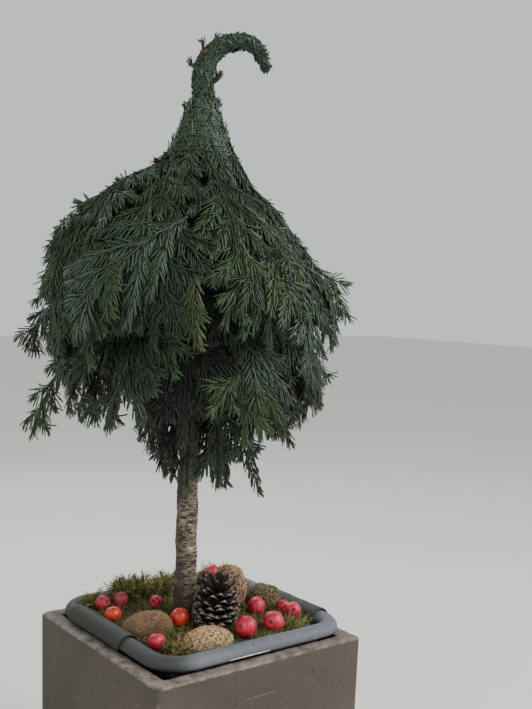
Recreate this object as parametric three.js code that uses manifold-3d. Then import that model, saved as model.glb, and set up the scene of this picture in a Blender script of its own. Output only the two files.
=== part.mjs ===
// A small standard made of cut fir boughs, standing in a square planter.
// A birch trunk stands in the soil. Fir boughs are tied round it in three tiers and hang as a skirt,
// and a bundle of fir twigs, bound with wire, closes the top and hooks over to one side.
// The planter holds a liner pot with a rolled rim, a bed of moss, stones, a pine cone and crab apples.
// Millimetres, +Z up, origin at the middle of the planter's underside.

import * as THREE from "three";
import { mergeVertices } from "three/addons/utils/BufferGeometryUtils.js";
import Module from "manifold-3d";

const wasm = await Module();
wasm.setup();

const FULL_TURN = 2 * Math.PI;
const QUARTER_TURN = Math.PI / 2;
const CLEARANCE = 0.35; // gap kept between pieces that touch

// Planter, liner pot and soil
const PLANTER = { half: 175, footHalf: 169, height: 350, wall: 25, floor: 22, corner: 5 };
const LINER = { half: 139, footHalf: 118, bottom: 62, wall: 3, corner: 40 };
const LINER_PLACE = { x: 9, y: 7 }; // the pot hangs a little off the planter's middle
const RIM = { outer: 164, inner: 137, height: 20, corner: 54 };
const GRIP = { start: -105, end: 49, wall: 3 }; // where the grip runs along the rim's right side
const SOIL_TOP = 338;

// Moss bed
const MOSS = { edge: 361, crown: 5.5, backRise: 9, bump: 1.8, half: 134, corner: 34 };

// Trunk: its foot stands off the middle on the side away from the hook, and it leans and bows a little
const HOOK_TURN = THREE.MathUtils.degToRad(-37.6); // the side that the tip hooks over to
const TRUNK = {
  top: 1062,
  radius: 16.8,
  topRadius: 12,
  foot: -15,
  lean: 5,
  bow: 6,
  flare: 6,
  flareHeight: 34,
};

// Bound peak and hook
const PEAK = { bottom: 1046, top: 1128.2, bottomRadius: 60, topRadius: 23, offset: -3 };
const HOOK_RADIUS = { neck: 18.5, end: 8 };

// Tiers of boughs, each a list of sizes and a shape
const TIERS = [
  {
    name: "top_bough",
    count: 9,
    tie: 1038, // height of the tie on the trunk
    reach: 224, // how far out and how far below the tie a bough ends
    drop: 250,
    side: 20, // how much further a bough reaches on the side away from the hook
    round: 1.72, // how much the arch swells outwards
    swell: 0.28, // how much more it swells on the side away from the hook
    turn: 0, // where the first bough stands, in boughs
  },
  {
    name: "middle_bough",
    count: 8,
    tie: 962,
    reach: 222,
    drop: 306,
    side: 32,
    round: 1.5,
    swell: 0.1,
    turn: 0.5,
  },
  {
    name: "inner_bough",
    count: 7,
    tie: 858,
    reach: 98,
    drop: 284,
    side: -14,
    round: 1.5,
    swell: 0,
    turn: 0.25,
  },
];
const BOUGH = {
  radius: 3.6,
  tipRadius: 1.8,
  blade: 4.5, // thickness of the blade of needles along its ribs
  tip: 34, // length of the tip past the last twigs
  sectorGap: 1.6,
  droop: 0.0016,
  uneven: 0.06,
};
const TWIG = {
  first: 48,
  spacing: 47,
  angle: 44,
  longest: 118,
  shortest: 12,
  taper: 0.62,
  rise: 0.2,
  toothed: 56, // a twig longer than this has a second pair of teeth
};

const material = (color, roughness) => new THREE.MeshStandardMaterial({ color, roughness, metalness: 0 });
const MATERIALS = {
  planter: material("#625850", 0.85),
  liner: material("#565b62", 0.5),
  soil: material("#2c231a", 1),
  moss: material("#5a6230", 1),
  bark: material("#8f8371", 0.9),
  fir: material("#23402b", 0.55),
  stone: material("#a8835c", 0.95),
  cone: material("#4a3a30", 0.8),
  apple: material("#b3232e", 0.3),
};

/** Repeatable random numbers from 0 to 1. */
function seededRandom(seed) {
  let state = seed >>> 0;
  return () => {
    state = (state + 0x6d2b79f5) >>> 0;
    let mixed = Math.imul(state ^ (state >>> 15), state | 1);
    mixed ^= mixed + Math.imul(mixed ^ (mixed >>> 7), mixed | 61);
    return ((mixed ^ (mixed >>> 14)) >>> 0) / 4294967296;
  };
}

/** A closed geometry as a solid that can be joined and cut. */
function solidOf(geometry) {
  const bare = geometry.clone();
  bare.deleteAttribute("normal");
  bare.deleteAttribute("uv");
  const merged = mergeVertices(bare, 1e-4);
  const mesh = new wasm.Mesh({
    numProp: 3,
    vertProperties: merged.attributes.position.array,
    triVerts: new Uint32Array(merged.index.array),
  });
  return new wasm.Manifold(mesh);
}

/** The largest connected piece of a solid, so that cutting leaves no loose scrap. */
function mainPiece(solid) {
  return solid.decompose().reduce((best, piece) => (piece.volume() > best.volume() ? piece : best));
}

/** A named mesh from a solid. */
function meshOf(name, solid, look) {
  const { vertProperties, triVerts } = mainPiece(solid).getMesh();
  const geometry = new THREE.BufferGeometry();
  geometry.setAttribute("position", new THREE.BufferAttribute(new Float32Array(vertProperties), 3));
  geometry.setIndex(new THREE.BufferAttribute(new Uint32Array(triVerts), 1));
  geometry.computeVertexNormals();
  const mesh = new THREE.Mesh(geometry, look);
  mesh.name = name;
  return mesh;
}

/** A solid of an object's own frame, carried to the frame that the object is placed in. */
function carried(solid, object) {
  object.updateMatrix();
  return solid.transform(object.matrix.elements);
}

/** A solid grown by a little on every side of its middle, to cut a pocket that clears it. */
function grown(solid) {
  const { min, max } = solid.boundingBox();
  const middle = min.map((low, axis) => (low + max[axis]) / 2);
  const scale = min.map((low, axis) => 1 + (2.6 * CLEARANCE) / (max[axis] - low));
  return solid.translate(middle.map((value) => -value)).scale(scale).translate(middle);
}

/** A rounded square loop, anticlockwise seen from above. heightAt gives the height of each point. */
function roundedLoop(half, corner, heightAt) {
  const steps = 5;
  const points = [];
  for (let quarter = 0; quarter < 4; quarter += 1) {
    const diagonal = (quarter + 0.5) * QUARTER_TURN;
    for (let step = 0; step <= steps; step += 1) {
      const angle = (quarter + step / steps) * QUARTER_TURN;
      const x = Math.sign(Math.cos(diagonal)) * (half - corner) + corner * Math.cos(angle);
      const y = Math.sign(Math.sin(diagonal)) * (half - corner) + corner * Math.sin(angle);
      points.push(new THREE.Vector3(x, y, heightAt(x, y)));
    }
  }
  return points;
}
const roundedSquare = (half, corner, height) => roundedLoop(half, corner, () => height);

/** A closed skin over loops of equal length, fanned shut at the first and the last loop. */
function skin(loops, middleHeight) {
  const count = loops[0].length;
  const points = loops.flat();
  const middleOf = (loop) => loop.reduce((sum, p) => sum.add(p), new THREE.Vector3()).divideScalar(count);
  const first = points.push(middleOf(loops[0])) - 1;
  const lastMiddle = middleOf(loops.at(-1));
  if (middleHeight !== undefined) lastMiddle.z = middleHeight;
  const last = points.push(lastMiddle) - 1;
  const faces = [];
  for (let i = 0; i < count; i += 1) {
    const j = (i + 1) % count;
    faces.push(first, j, i);
    for (let level = 0; level + 1 < loops.length; level += 1) {
      const low = level * count;
      const high = low + count;
      faces.push(low + i, low + j, high + j, low + i, high + j, high + i);
    }
    const end = (loops.length - 1) * count;
    faces.push(last, end + i, end + j);
  }
  const geometry = new THREE.BufferGeometry().setFromPoints(points);
  geometry.setIndex(faces);
  return geometry;
}

/** A tapering limb: a cylinder bent along a path whose bends all turn about the direction side. */
function limb(path, radius, side, sides, steps) {
  const geometry = new THREE.CylinderGeometry(1, 1, 1, sides, steps);
  const position = geometry.attributes.position;
  for (let i = 0; i < position.count; i += 1) {
    const along = position.getY(i) + 0.5;
    const angle = Math.atan2(position.getZ(i), position.getX(i));
    const out = Math.hypot(position.getX(i), position.getZ(i)) * radius(along, angle);
    const ahead = path(Math.min(1, along + 0.01)).sub(path(Math.max(0, along - 0.01))).normalize();
    const across = new THREE.Vector3().crossVectors(side, ahead).normalize();
    const point = path(along)
      .addScaledVector(side, out * Math.sin(angle))
      .addScaledVector(across, -out * Math.cos(angle));
    position.setXYZ(i, point.x, point.y, point.z);
  }
  return geometry;
}

const hookSide = new THREE.Vector3(Math.cos(HOOK_TURN), Math.sin(HOOK_TURN), 0);
const hookAcross = new THREE.Vector3(-Math.sin(HOOK_TURN), Math.cos(HOOK_TURN), 0);
const inHookPlane = (lateral, height) => hookSide.clone().multiplyScalar(lateral).setZ(height);

/** The middle of the trunk at a height. */
function trunkAxis(height) {
  const share = THREE.MathUtils.clamp((height - SOIL_TOP) / (TRUNK.top - SOIL_TOP), 0, 1);
  const lateral = TRUNK.foot + TRUNK.lean * share - TRUNK.bow * Math.sin(Math.PI * share ** 0.6);
  return inHookPlane(lateral, height);
}

/** The trunk's radius at a height, with its flare at the foot. */
function trunkRadius(height) {
  const share = (height - SOIL_TOP) / (TRUNK.top - SOIL_TOP);
  const flare = TRUNK.flare * Math.exp(-(height - MOSS.edge) / TRUNK.flareHeight);
  return THREE.MathUtils.lerp(TRUNK.radius, TRUNK.topRadius, share) + Math.min(flare, TRUNK.flare);
}

/** The height of the moss bed's surface. */
function mossHeight(x, y) {
  const offMiddle = Math.max(Math.abs(x - LINER_PLACE.x), Math.abs(y - LINER_PLACE.y));
  const outward = Math.min(1, offMiddle / MOSS.half);
  const rise = MOSS.crown * (1 - outward ** 2) + (MOSS.backRise * (x + y)) / (2 * MOSS.half);
  return MOSS.edge + rise + MOSS.bump * Math.sin(x / 15 + 1) * Math.cos(y / 13);
}

function planter() {
  const { half, footHalf, height, wall, floor, corner } = PLANTER;
  const halfAt = (z) => THREE.MathUtils.lerp(footHalf, half, z / height);
  return skin([
    roundedSquare(footHalf, corner, 0),
    roundedSquare(half - 0.5, corner, height - 5),
    roundedSquare(half - 3, corner - 2, height),
    roundedSquare(half - wall + 2, corner, height),
    roundedSquare(half - wall, corner, height - 4),
    roundedSquare(halfAt(floor) - wall, corner, floor),
  ]);
}

function linerPot() {
  const seat = PLANTER.height + CLEARANCE;
  const top = seat + RIM.height;
  const { half, footHalf, bottom, wall, corner } = LINER;
  const rimCorner = (at) => RIM.corner - (RIM.outer - at);
  const rimLoop = (at, z) => roundedSquare(at, rimCorner(at), z);
  return skin([
    roundedSquare(footHalf, corner, bottom),
    roundedSquare(half + 1, corner, seat - 4),
    rimLoop(half + 3, seat),
    rimLoop(RIM.outer - 3, seat),
    rimLoop(RIM.outer, seat + RIM.height * 0.35),
    rimLoop(RIM.outer - 3, seat + RIM.height * 0.75),
    rimLoop(RIM.outer - 10, top),
    rimLoop(RIM.inner + 9, top - 1),
    rimLoop(RIM.inner + 2, top - RIM.height * 0.3),
    roundedSquare(half - wall, corner, seat - 6),
    roundedSquare(footHalf - wall, corner, bottom + wall),
  ]);
}

/** A grip that rides over the rim: an arched strip, extruded along the rim's right side. */
function rimGrip() {
  const seat = PLANTER.height + CLEARANCE;
  const top = seat + RIM.height + CLEARANCE;
  const outside = RIM.outer + CLEARANCE;
  const outline = new THREE.Shape([
    new THREE.Vector2(outside, seat + RIM.height * 0.35),
    new THREE.Vector2(outside - 3, seat + RIM.height * 0.75 + CLEARANCE),
    new THREE.Vector2(RIM.outer - 10, top),
    new THREE.Vector2(RIM.inner + 9, top - 1),
    new THREE.Vector2(RIM.inner + 9, top - 1 + GRIP.wall),
    new THREE.Vector2(RIM.outer - 9, top + GRIP.wall),
    new THREE.Vector2(outside + GRIP.wall - 1.5, seat + RIM.height * 0.8),
    new THREE.Vector2(outside + GRIP.wall, seat + RIM.height * 0.35),
  ]);
  const geometry = new THREE.ExtrudeGeometry(outline, { depth: GRIP.end - GRIP.start, bevelEnabled: false });
  geometry.rotateX(QUARTER_TURN);
  geometry.translate(0, GRIP.end, 0);
  return geometry;
}

function soil() {
  const reach = LINER.half - LINER.wall - 1.2;
  const foot = LINER.footHalf - LINER.wall - 1;
  const bottom = LINER.bottom + LINER.wall + CLEARANCE;
  return skin([roundedSquare(foot, LINER.corner, bottom), roundedSquare(reach, LINER.corner, SOIL_TOP)]);
}

/** The moss bed, built round the pot's middle. */
function mossBed() {
  const { half, corner, edge } = MOSS;
  const heightAt = (x, y) => mossHeight(x + LINER_PLACE.x, y + LINER_PLACE.y);
  const underside = roundedSquare(half - 3, corner, SOIL_TOP + CLEARANCE);
  const loops = [underside, roundedSquare(half, corner, edge - 9)];
  for (let share = 0.93; share > 0.1; share -= 0.165) {
    loops.push(roundedLoop(half * share, corner * share, heightAt));
  }
  return skin(loops, heightAt(0, 0));
}

/** The trunk, a little knobbly, cut flat at both ends. extra grows it into a socket that clears it. */
function trunk(extra = 0) {
  const geometry = new THREE.CylinderGeometry(1, 1, 1, 12, 20);
  geometry.rotateX(QUARTER_TURN);
  const position = geometry.attributes.position;
  for (let i = 0; i < position.count; i += 1) {
    // The rings are closer together near the foot, where the trunk flares
    const share = Math.max(0, position.getZ(i) + 0.5) ** 1.6;
    const height = THREE.MathUtils.lerp(SOIL_TOP + CLEARANCE, TRUNK.top, share);
    const angle = Math.atan2(position.getY(i), position.getX(i));
    const knobs = 1 + 0.04 * Math.sin(height / 11 + 3 * angle) + 0.03 * Math.sin(height / 27 - 2 * angle);
    const out = Math.hypot(position.getX(i), position.getY(i)) * (trunkRadius(height) * knobs + 1.04 * extra);
    const middle = trunkAxis(height);
    const endShift = share < 0.001 ? -extra : share > 0.999 ? extra : 0;
    position.setXYZ(i, middle.x + out * Math.cos(angle), middle.y + out * Math.sin(angle), height + endShift);
  }
  return geometry;
}

/** A stone: a faceted ball with uneven sides. */
function stone({ size, seed }) {
  const random = seededRandom(seed);
  const waves = [0, 1, 2, 3].map(() => ({
    way: new THREE.Vector3(random() - 0.5, random() - 0.5, random() - 0.5).multiplyScalar(5),
    start: random() * FULL_TURN,
  }));
  const geometry = new THREE.IcosahedronGeometry(1, 2);
  const position = geometry.attributes.position;
  const point = new THREE.Vector3();
  for (let i = 0; i < position.count; i += 1) {
    point.fromBufferAttribute(position, i);
    const swell = waves.reduce((sum, { way, start }) => sum + 0.06 * Math.sin(point.dot(way) + start), 1);
    point.multiplyScalar(swell);
    position.setXYZ(i, point.x, point.y, point.z);
  }
  return geometry.scale(size[0] / 2, size[1] / 2, size[2] / 2);
}

// Where each stone lies, its size, how far its middle stands over the moss and which way it is turned
const STONES = [
  { name: "stone_left", x: -93, y: -16, size: [76, 50, 48], lift: 7, turn: -0.5, seed: 11 },
  { name: "stone_front", x: -48, y: -97, size: [86, 50, 48], lift: 7, turn: -0.12, seed: 12 },
  { name: "stone_tall", x: 70, y: 14, size: [52, 38, 88], lift: 18, turn: -0.66, seed: 13 },
  { name: "stone_right", x: 107, y: -25, size: [50, 30, 50], lift: 7, turn: -0.66, seed: 14 },
];

// An opened pine cone: rings of scales round a core, wide open at its top; it leans to the front right
const CONE = {
  x: -1,
  y: -43,
  height: 80,
  radius: 36,
  rings: 8,
  scales: 8,
  core: 0.4,
  sink: 4,
  lean: [0.17, 0.03],
};
const coneSwell = (share) => Math.sin(Math.PI * (0.24 + 0.6 * share ** 0.9)) ** 0.75;

/** One ring of the cone's skin: radiusAt gives the radius of each of its points. */
function coneRing(height, radiusAt) {
  return Array.from({ length: 2 * CONE.scales }, (_, i) => {
    const angle = (i / CONE.scales) * Math.PI;
    return new THREE.Vector3(radiusAt(i) * Math.cos(angle), radiusAt(i) * Math.sin(angle), height);
  });
}

/** The pine cone: under each ring of scales the skin runs in to the core, and out again to their tips. */
function pineCone() {
  const { height, radius, rings, core } = CONE;
  const loops = [coneRing(0, () => radius * core * coneSwell(0) * 0.8)];
  for (let ring = 0; ring < rings; ring += 1) {
    const share = ring / rings;
    const reach = radius * coneSwell(share);
    const foot = height * 0.84 * share + 1;
    const lean = height * (0.05 + 0.12 * share);
    const isTip = (i) => (i + ring) % 2 === 0;
    const neck = (i) => (isTip(i) ? reach : reach * 0.66);
    loops.push(coneRing(foot + 1, () => reach * core));
    const tips = coneRing(foot + lean, neck);
    tips.forEach((tip, i) => (tip.z += isTip(i) ? 4 : 0));
    loops.push(tips);
    loops.push(coneRing(foot + lean + 4.5, (i) => reach * (isTip(i) ? 0.7 : 0.5)));
  }
  return skin(loops);
}

/** The hollow that the pine cone stands in. */
function conePocket() {
  const shape = new THREE.CylinderGeometry(CONE.radius, CONE.radius * 0.72, 20, 12);
  shape.rotateX(QUARTER_TURN);
  shape.translate(0, 0, 10 - CLEARANCE);
  return shape;
}

/** A crab apple's flesh, by its diameter, with its axis along +Y. */
function appleFlesh(size) {
  const outline = [
    [0, -0.42],
    [0.25, -0.46],
    [0.47, -0.2],
    [0.47, 0.2],
    [0.25, 0.46],
    [0, 0.38],
  ];
  const points = outline.map(([out, up]) => new THREE.Vector2(out * size, up * size));
  return solidOf(new THREE.LatheGeometry(points, 8));
}

/** A crab apple with its stalk, or where that points down, with the remains of its flower on top. */
function crabApple({ size, stalk = 12 }) {
  const stem = new THREE.CylinderGeometry(0.9, 0.8, stalk, 3);
  stem.translate(0, size * 0.38 - 3 + stalk / 2, 0);
  const flower = new THREE.ConeGeometry(size * 0.12, 5, 4);
  flower.rotateX(Math.PI);
  flower.translate(0, -size * 0.44, 0);
  return appleFlesh(size).add(solidOf(stalk > 0 ? stem : flower));
}

// Where each apple lies, its diameter, how far it has rolled over and which way it points, in degrees
const APPLES = [
  { x: -105, y: 103, size: 26, tilt: 60, turn: 20 },
  { x: -79, y: 93, size: 26, tilt: 100, turn: 60 },
  { x: -113, y: 56, size: 26, tilt: 160, turn: 20, stalk: 0 },
  { x: -38, y: 58, size: 22, tilt: 80, turn: -60 },
  { x: -45, y: -22, size: 31, tilt: 160, turn: 120, stalk: 0 },
  { x: -111, y: -67, size: 27, tilt: 15, turn: 150 },
  { x: 92, y: 96, size: 26, tilt: 120, turn: -90, lift: 0.8 },
  { x: 17, y: -101, size: 34, tilt: 105, turn: 100 },
  { x: 77, y: -45, size: 29, tilt: 100, turn: 80 },
  { x: 63, y: -106, size: 33, tilt: 100, turn: 120 },
  { x: 121, y: -57, size: 21, tilt: 90, turn: -20, stalk: 8 },
  { x: 116, y: -86, size: 27, tilt: 110, turn: 140 },
];

/** A tuft of moss: a low lump with pointed sprigs that stand out of it. */
function mossTuft({ x, y, size, sprigs, seed }) {
  const random = seededRandom(seed);
  const lump = new THREE.IcosahedronGeometry(1, 1);
  lump.scale(size[0] / 2, size[1] / 2, size[2]);
  let tuft = solidOf(lump);
  for (let i = 0; i < sprigs; i += 1) {
    const around = i * 2.4 + random();
    const out = Math.sqrt((i + 0.5) / sprigs) * 0.8;
    const tall = size[2] * (0.5 + 0.4 * random());
    const sprig = new THREE.ConeGeometry(4, tall, 3);
    sprig.translate(0, tall / 2, 0);
    sprig.rotateX(QUARTER_TURN);
    sprig.rotateX(-Math.sin(around) * out * 0.8);
    sprig.rotateY(Math.cos(around) * out * 0.8);
    const footX = (Math.cos(around) * out * size[0]) / 2;
    const footY = (Math.sin(around) * out * size[1]) / 2;
    sprig.translate(footX, footY, size[2] * (1 - out * out) * 0.6);
    tuft = tuft.add(solidOf(sprig));
  }
  return tuft.translate([x, y, mossHeight(x, y)]);
}

// Where each tuft grows, its width, depth and height, and its number of sprigs
const TUFTS = [
  { x: -58, y: 108, size: [54, 40, 26], sprigs: 8, seed: 21 },
  { x: 8, y: 104, size: [62, 40, 19], sprigs: 7, seed: 22 },
  { x: -106, y: 117, size: [28, 22, 16], sprigs: 4, seed: 23 },
  { x: 94, y: 100, size: [40, 36, 15], sprigs: 5, seed: 26 },
  { x: -98, y: -100, size: [32, 28, 9], sprigs: 4, seed: 24 },
  { x: 94, y: -108, size: [36, 30, 10], sprigs: 4, seed: 25 },
];

/** A bough's arch in its own upright plane: how far out and how far below its tie it runs. */
function boughArch(tier, index) {
  const random = seededRandom(1000 * (TIERS.indexOf(tier) + 1) + index);
  const sector = FULL_TURN / tier.count;
  const turn = (index + tier.turn) * sector; // from the side away from the hook
  const reach = (tier.reach + tier.side * Math.cos(turn)) * (1 - BOUGH.uneven * random());
  const drop = tier.drop * (1 - BOUGH.uneven * random());
  const power = 2 / (tier.round + tier.swell * Math.cos(turn));
  const start = trunkRadius(tier.tie) * 0.8;
  const steps = 40;
  const samples = [];
  let travelled = 0;
  for (let i = 0; i <= steps; i += 1) {
    const angle = (i / steps) * QUARTER_TURN;
    const r = start + (reach - start) * Math.sin(angle) ** power;
    const z = -drop * (1 - Math.cos(angle) ** power);
    if (i > 0) travelled += Math.hypot(r - samples[i - 1].r, z - samples[i - 1].z);
    samples.push({ r, z, travelled });
  }
  return { azimuth: HOOK_TURN + Math.PI + turn, sector, samples, length: travelled, random };
}

/** Radius and height at a distance along an arch; past its end the last bit is drawn on straight. */
function archAt(arch, distance) {
  const { samples } = arch;
  const next = samples.findIndex((sample) => sample.travelled >= distance);
  const high = next < 1 ? (next === 0 ? 1 : samples.length - 1) : next;
  const a = samples[high - 1];
  const b = samples[high];
  const share = (distance - a.travelled) / (b.travelled - a.travelled);
  return { r: a.r + share * (b.r - a.r), z: a.z + share * (b.z - a.z) };
}

/** A point of the bough's curved sheet: distance along, distance across, height off the sheet. */
function sheetPoint(arch, along, across, lift) {
  const here = archAt(arch, along);
  const ahead = archAt(arch, along + 1);
  const run = Math.hypot(ahead.r - here.r, ahead.z - here.z);
  const r = here.r - (lift * (ahead.z - here.z)) / run;
  const z = here.z + (lift * (ahead.r - here.r)) / run - BOUGH.droop * across * across;
  return new THREE.Vector3(r, across, z);
}

/** Half the width that a bough may fill at a distance along it, inside its own sector. */
function halfSpace(arch, along) {
  return archAt(arch, along).r * Math.tan(arch.sector / 2) - BOUGH.sectorGap / Math.cos(arch.sector / 2);
}

/** The twigs of a bough, in pairs along it, each as long as the bough's own space allows. */
function twigsOf(arch) {
  const { length, random } = arch;
  const angle = THREE.MathUtils.degToRad(TWIG.angle + 6 * (random() - 0.5));
  const roots = [];
  for (let root = TWIG.first; root < length - 20; root += TWIG.spacing) roots.push(root);
  const sides = [1, -1].map((side) => {
    return roots.map((root) => {
      const rise = TWIG.rise * (random() - 0.25);
      const longest = Math.min(TWIG.longest, (length - root) * TWIG.taper + 30);
      const twig = { root, side, angle, rise, length: longest * (1 - 0.12 * random()) };
      while (twig.length > TWIG.shortest && !keepsToSpace(arch, twig)) twig.length -= 2;
      return twig;
    });
  });
  return { roots, angle, sides };
}

/** The toothed edge of a twig's needles on one side, in the twig's own frame: tooth, notch and so on. */
function toothedEdge({ angle, length }) {
  const halfWidth = (TWIG.spacing / 2) * Math.sin(angle);
  const edge = [
    [0.6, 0.92],
    [0.54, 0.42],
  ];
  if (length > TWIG.toothed) edge.push([0.85, 0.66], [0.79, 0.2]);
  return edge.map(([along, out]) => ({ x: along * length, y: out * halfWidth }));
}

/** A point on a twig: x along it and y across it, towards the bough's tip. */
function onTwig({ root, side, angle }, x, y) {
  return {
    along: root + x * Math.cos(angle) + y * Math.sin(angle),
    across: side * (x * Math.sin(angle) - y * Math.cos(angle)),
  };
}

/** Whether a twig keeps to the bough's own space. */
function keepsToSpace(arch, twig) {
  return [...toothedEdge(twig), { x: twig.length, y: 0 }].every(({ x, y }) => {
    return [y, -y].every((offset) => {
      const { along, across } = onTwig(twig, x, offset);
      return Math.abs(across) < halfSpace(arch, along);
    });
  });
}

/** The blade of a bough: its twigs' needles as one thin toothed skin, with a rib along each twig. */
function boughBlade(arch, { roots, angle, sides }) {
  const points = [];
  const faces = [];
  const add = (along, across, lift) => points.push(sheetPoint(arch, along, across, lift)) - 1;
  const half = TWIG.spacing / 2;
  const joints = [...roots.map((root) => root - half), roots.at(-1) + half];
  const stemTop = joints.map((along) => add(along, 0, BOUGH.blade));
  const stemUnder = joints.map((along) => add(along, 0, 0));
  const forks = roots.map((along) => add(along, 0, BOUGH.blade));
  const tip = add(joints.at(-1) + BOUGH.tip, 0, 0);

  for (const twigs of sides) {
    const { side } = twigs[0];
    const face = (a, b, c) => (side > 0 ? faces.push(a, b, c) : faces.push(a, c, b));
    const valleys = joints.map((joint, i) => {
      const beside = [twigs[i - 1], twigs[i]].filter(Boolean);
      const depth = 0.36 * Math.min(...beside.map((twig) => twig.length));
      const rise = beside.reduce((sum, twig) => sum + twig.rise, 0) / beside.length;
      return add(joint + depth * Math.cos(angle), side * depth * Math.sin(angle), depth * rise);
    });
    face(stemTop[0], valleys[0], stemUnder[0]);
    twigs.forEach((twig, i) => {
      const place = (x, y, lift) => {
        const { along, across } = onTwig(twig, x, y);
        return add(along, across, x * twig.rise + lift);
      };
      const edge = toothedEdge(twig);
      const end = place(twig.length, 0, 0);
      const notches = edge.filter((_, k) => k % 2 === 1);
      const ribs = [forks[i], ...notches.map(({ x }) => place(x, 0, BOUGH.blade * (1 - x / twig.length)))];
      const before = [valleys[i], ...edge.map(({ x, y }) => place(x, -y, 0))];
      const after = [valleys[i + 1], ...edge.map(({ x, y }) => place(x, y, 0))];
      face(forks[i], valleys[i], stemTop[i]);
      face(forks[i], stemTop[i + 1], valleys[i + 1]);
      face(stemUnder[i], valleys[i], valleys[i + 1]);
      face(stemUnder[i], valleys[i + 1], stemUnder[i + 1]);
      for (let k = 0; k + 2 < before.length; k += 2) {
        const [rib, nextRib] = [ribs[k / 2], ribs[k / 2 + 1]];
        face(before[k], nextRib, before[k + 2]);
        face(before[k], before[k + 2], before[k + 1]);
        face(before[k], rib, nextRib);
        face(after[k], after[k + 2], nextRib);
        face(after[k], after[k + 1], after[k + 2]);
        face(after[k], nextRib, rib);
        face(before[k], before[k + 1], before[k + 2]);
        face(after[k], after[k + 2], after[k + 1]);
        face(before[k], before[k + 2], after[k + 2]);
        face(before[k], after[k + 2], after[k]);
      }
      face(before.at(-1), ribs.at(-1), end);
      face(after.at(-1), end, ribs.at(-1));
      face(before.at(-1), end, after.at(-1));
    });
    face(stemTop.at(-1), tip, valleys.at(-1));
    face(stemUnder.at(-1), valleys.at(-1), tip);
  }
  const geometry = new THREE.BufferGeometry().setFromPoints(points);
  geometry.setIndex(faces);
  return geometry;
}

/** A fir bough along +X: a stem that meets the trunk and runs on as the rib of its blade of twigs. */
function firBough(arch) {
  const path = (share) => sheetPoint(arch, share * (TWIG.first + TWIG.spacing), 0, BOUGH.blade / 2);
  const thickness = (share) => THREE.MathUtils.lerp(BOUGH.radius, BOUGH.tipRadius, share);
  const stem = solidOf(limb(path, thickness, new THREE.Vector3(0, 1, 0), 3, 2));
  return stem.add(solidOf(boughBlade(arch, twigsOf(arch))));
}

/** A bundle of bound twigs along a path, its skin pushed out and forwards into rough needle tips. */
function boundBundle(path, radius, sides, steps) {
  const skinRadius = (share, angle) => {
    const ring = Math.round(share * steps);
    const isTip = (ring + Math.round((angle / FULL_TURN) * sides)) % 2 === 0;
    const isEnd = ring === 0 || ring === steps;
    return radius(share) * (isEnd ? 0.88 : isTip ? 1.08 : 0.82);
  };
  return solidOf(limb(path, skinRadius, hookAcross, sides, steps));
}

// The hook's middle line, in the upright plane of its side: away from the middle, and height
const HOOK_LINE = new THREE.CatmullRomCurve3(
  [
    inHookPlane(-10, 1131),
    inHookPlane(-14, 1152),
    inHookPlane(-13, 1175),
    inHookPlane(-4, 1196),
    inHookPlane(14, 1210),
    inHookPlane(37, 1217),
    inHookPlane(57, 1214),
    inHookPlane(70, 1200),
    inHookPlane(78, 1177),
  ],
  false,
  "catmullrom",
);
const hookPath = (share) => HOOK_LINE.getPoint(THREE.MathUtils.clamp(share, 0, 1));
const hookRadius = (share) => THREE.MathUtils.lerp(HOOK_RADIUS.neck, HOOK_RADIUS.end, share ** 1.6);
const HOOK_PIECES = [
  { name: "hook_neck", from: 0.004, to: 0.33, steps: 6 },
  { name: "hook_arch", from: 0.333, to: 0.77, steps: 8 },
  { name: "hook_end", from: 0.773, to: 1, steps: 5 },
];

/** The bound peak over the trunk's top. */
function peak() {
  const { bottom, top, bottomRadius, topRadius, offset } = PEAK;
  const middle = trunkAxis(TRUNK.top).addScaledVector(hookSide, offset);
  const path = (share) => middle.clone().setZ(THREE.MathUtils.lerp(bottom, top, share));
  const radius = (share) => THREE.MathUtils.lerp(bottomRadius, topRadius, share ** 0.75);
  return boundBundle(path, radius, 18, 6);
}

const planterGroup = new THREE.Group();
planterGroup.add(meshOf("planter", solidOf(planter()), MATERIALS.planter));
const potGroup = new THREE.Group();
potGroup.position.set(LINER_PLACE.x, LINER_PLACE.y, 0);
potGroup.add(meshOf("liner_pot", solidOf(linerPot()), MATERIALS.liner));
for (const [side, turn] of [
  ["right", 0],
  ["left", Math.PI],
]) {
  const grip = meshOf(`rim_grip_${side}`, solidOf(rimGrip()), MATERIALS.liner);
  grip.rotation.z = turn;
  potGroup.add(grip);
}
potGroup.add(meshOf("soil", solidOf(soil()), MATERIALS.soil));
planterGroup.add(potGroup);

// The moss bed, with a hollow for the trunk and for each thing that lies in it
const trunkSocket = solidOf(trunk(CLEARANCE));
const bedGroup = new THREE.Group();
const bareBed = solidOf(mossBed()).translate([LINER_PLACE.x, LINER_PLACE.y, 0]);
let bed = TUFTS.reduce((moss, place) => moss.add(mossTuft(place)), bareBed).subtract(trunkSocket);
const layInBed = (mesh, hollow) => {
  bed = bed.subtract(carried(hollow, mesh));
  bedGroup.add(mesh);
};
for (const place of STONES) {
  const { name, x, y, lift, turn } = place;
  const solid = solidOf(stone(place));
  const mesh = meshOf(name, solid, MATERIALS.stone);
  mesh.position.set(x, y, mossHeight(x, y) + lift);
  mesh.rotation.z = turn;
  layInBed(mesh, grown(solid));
}
APPLES.forEach((place, i) => {
  const { x, y, size, lift = 0.36, tilt, turn } = place;
  const mesh = meshOf(`crab_apple_${i + 1}`, crabApple(place), MATERIALS.apple);
  mesh.position.set(x, y, mossHeight(x, y) + size * lift);
  mesh.rotation.set(THREE.MathUtils.degToRad(90 + tilt), 0, THREE.MathUtils.degToRad(turn), "ZYX");
  layInBed(mesh, appleFlesh(size + 2 * CLEARANCE));
});
const cone = meshOf("pine_cone", solidOf(pineCone()), MATERIALS.cone);
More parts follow.
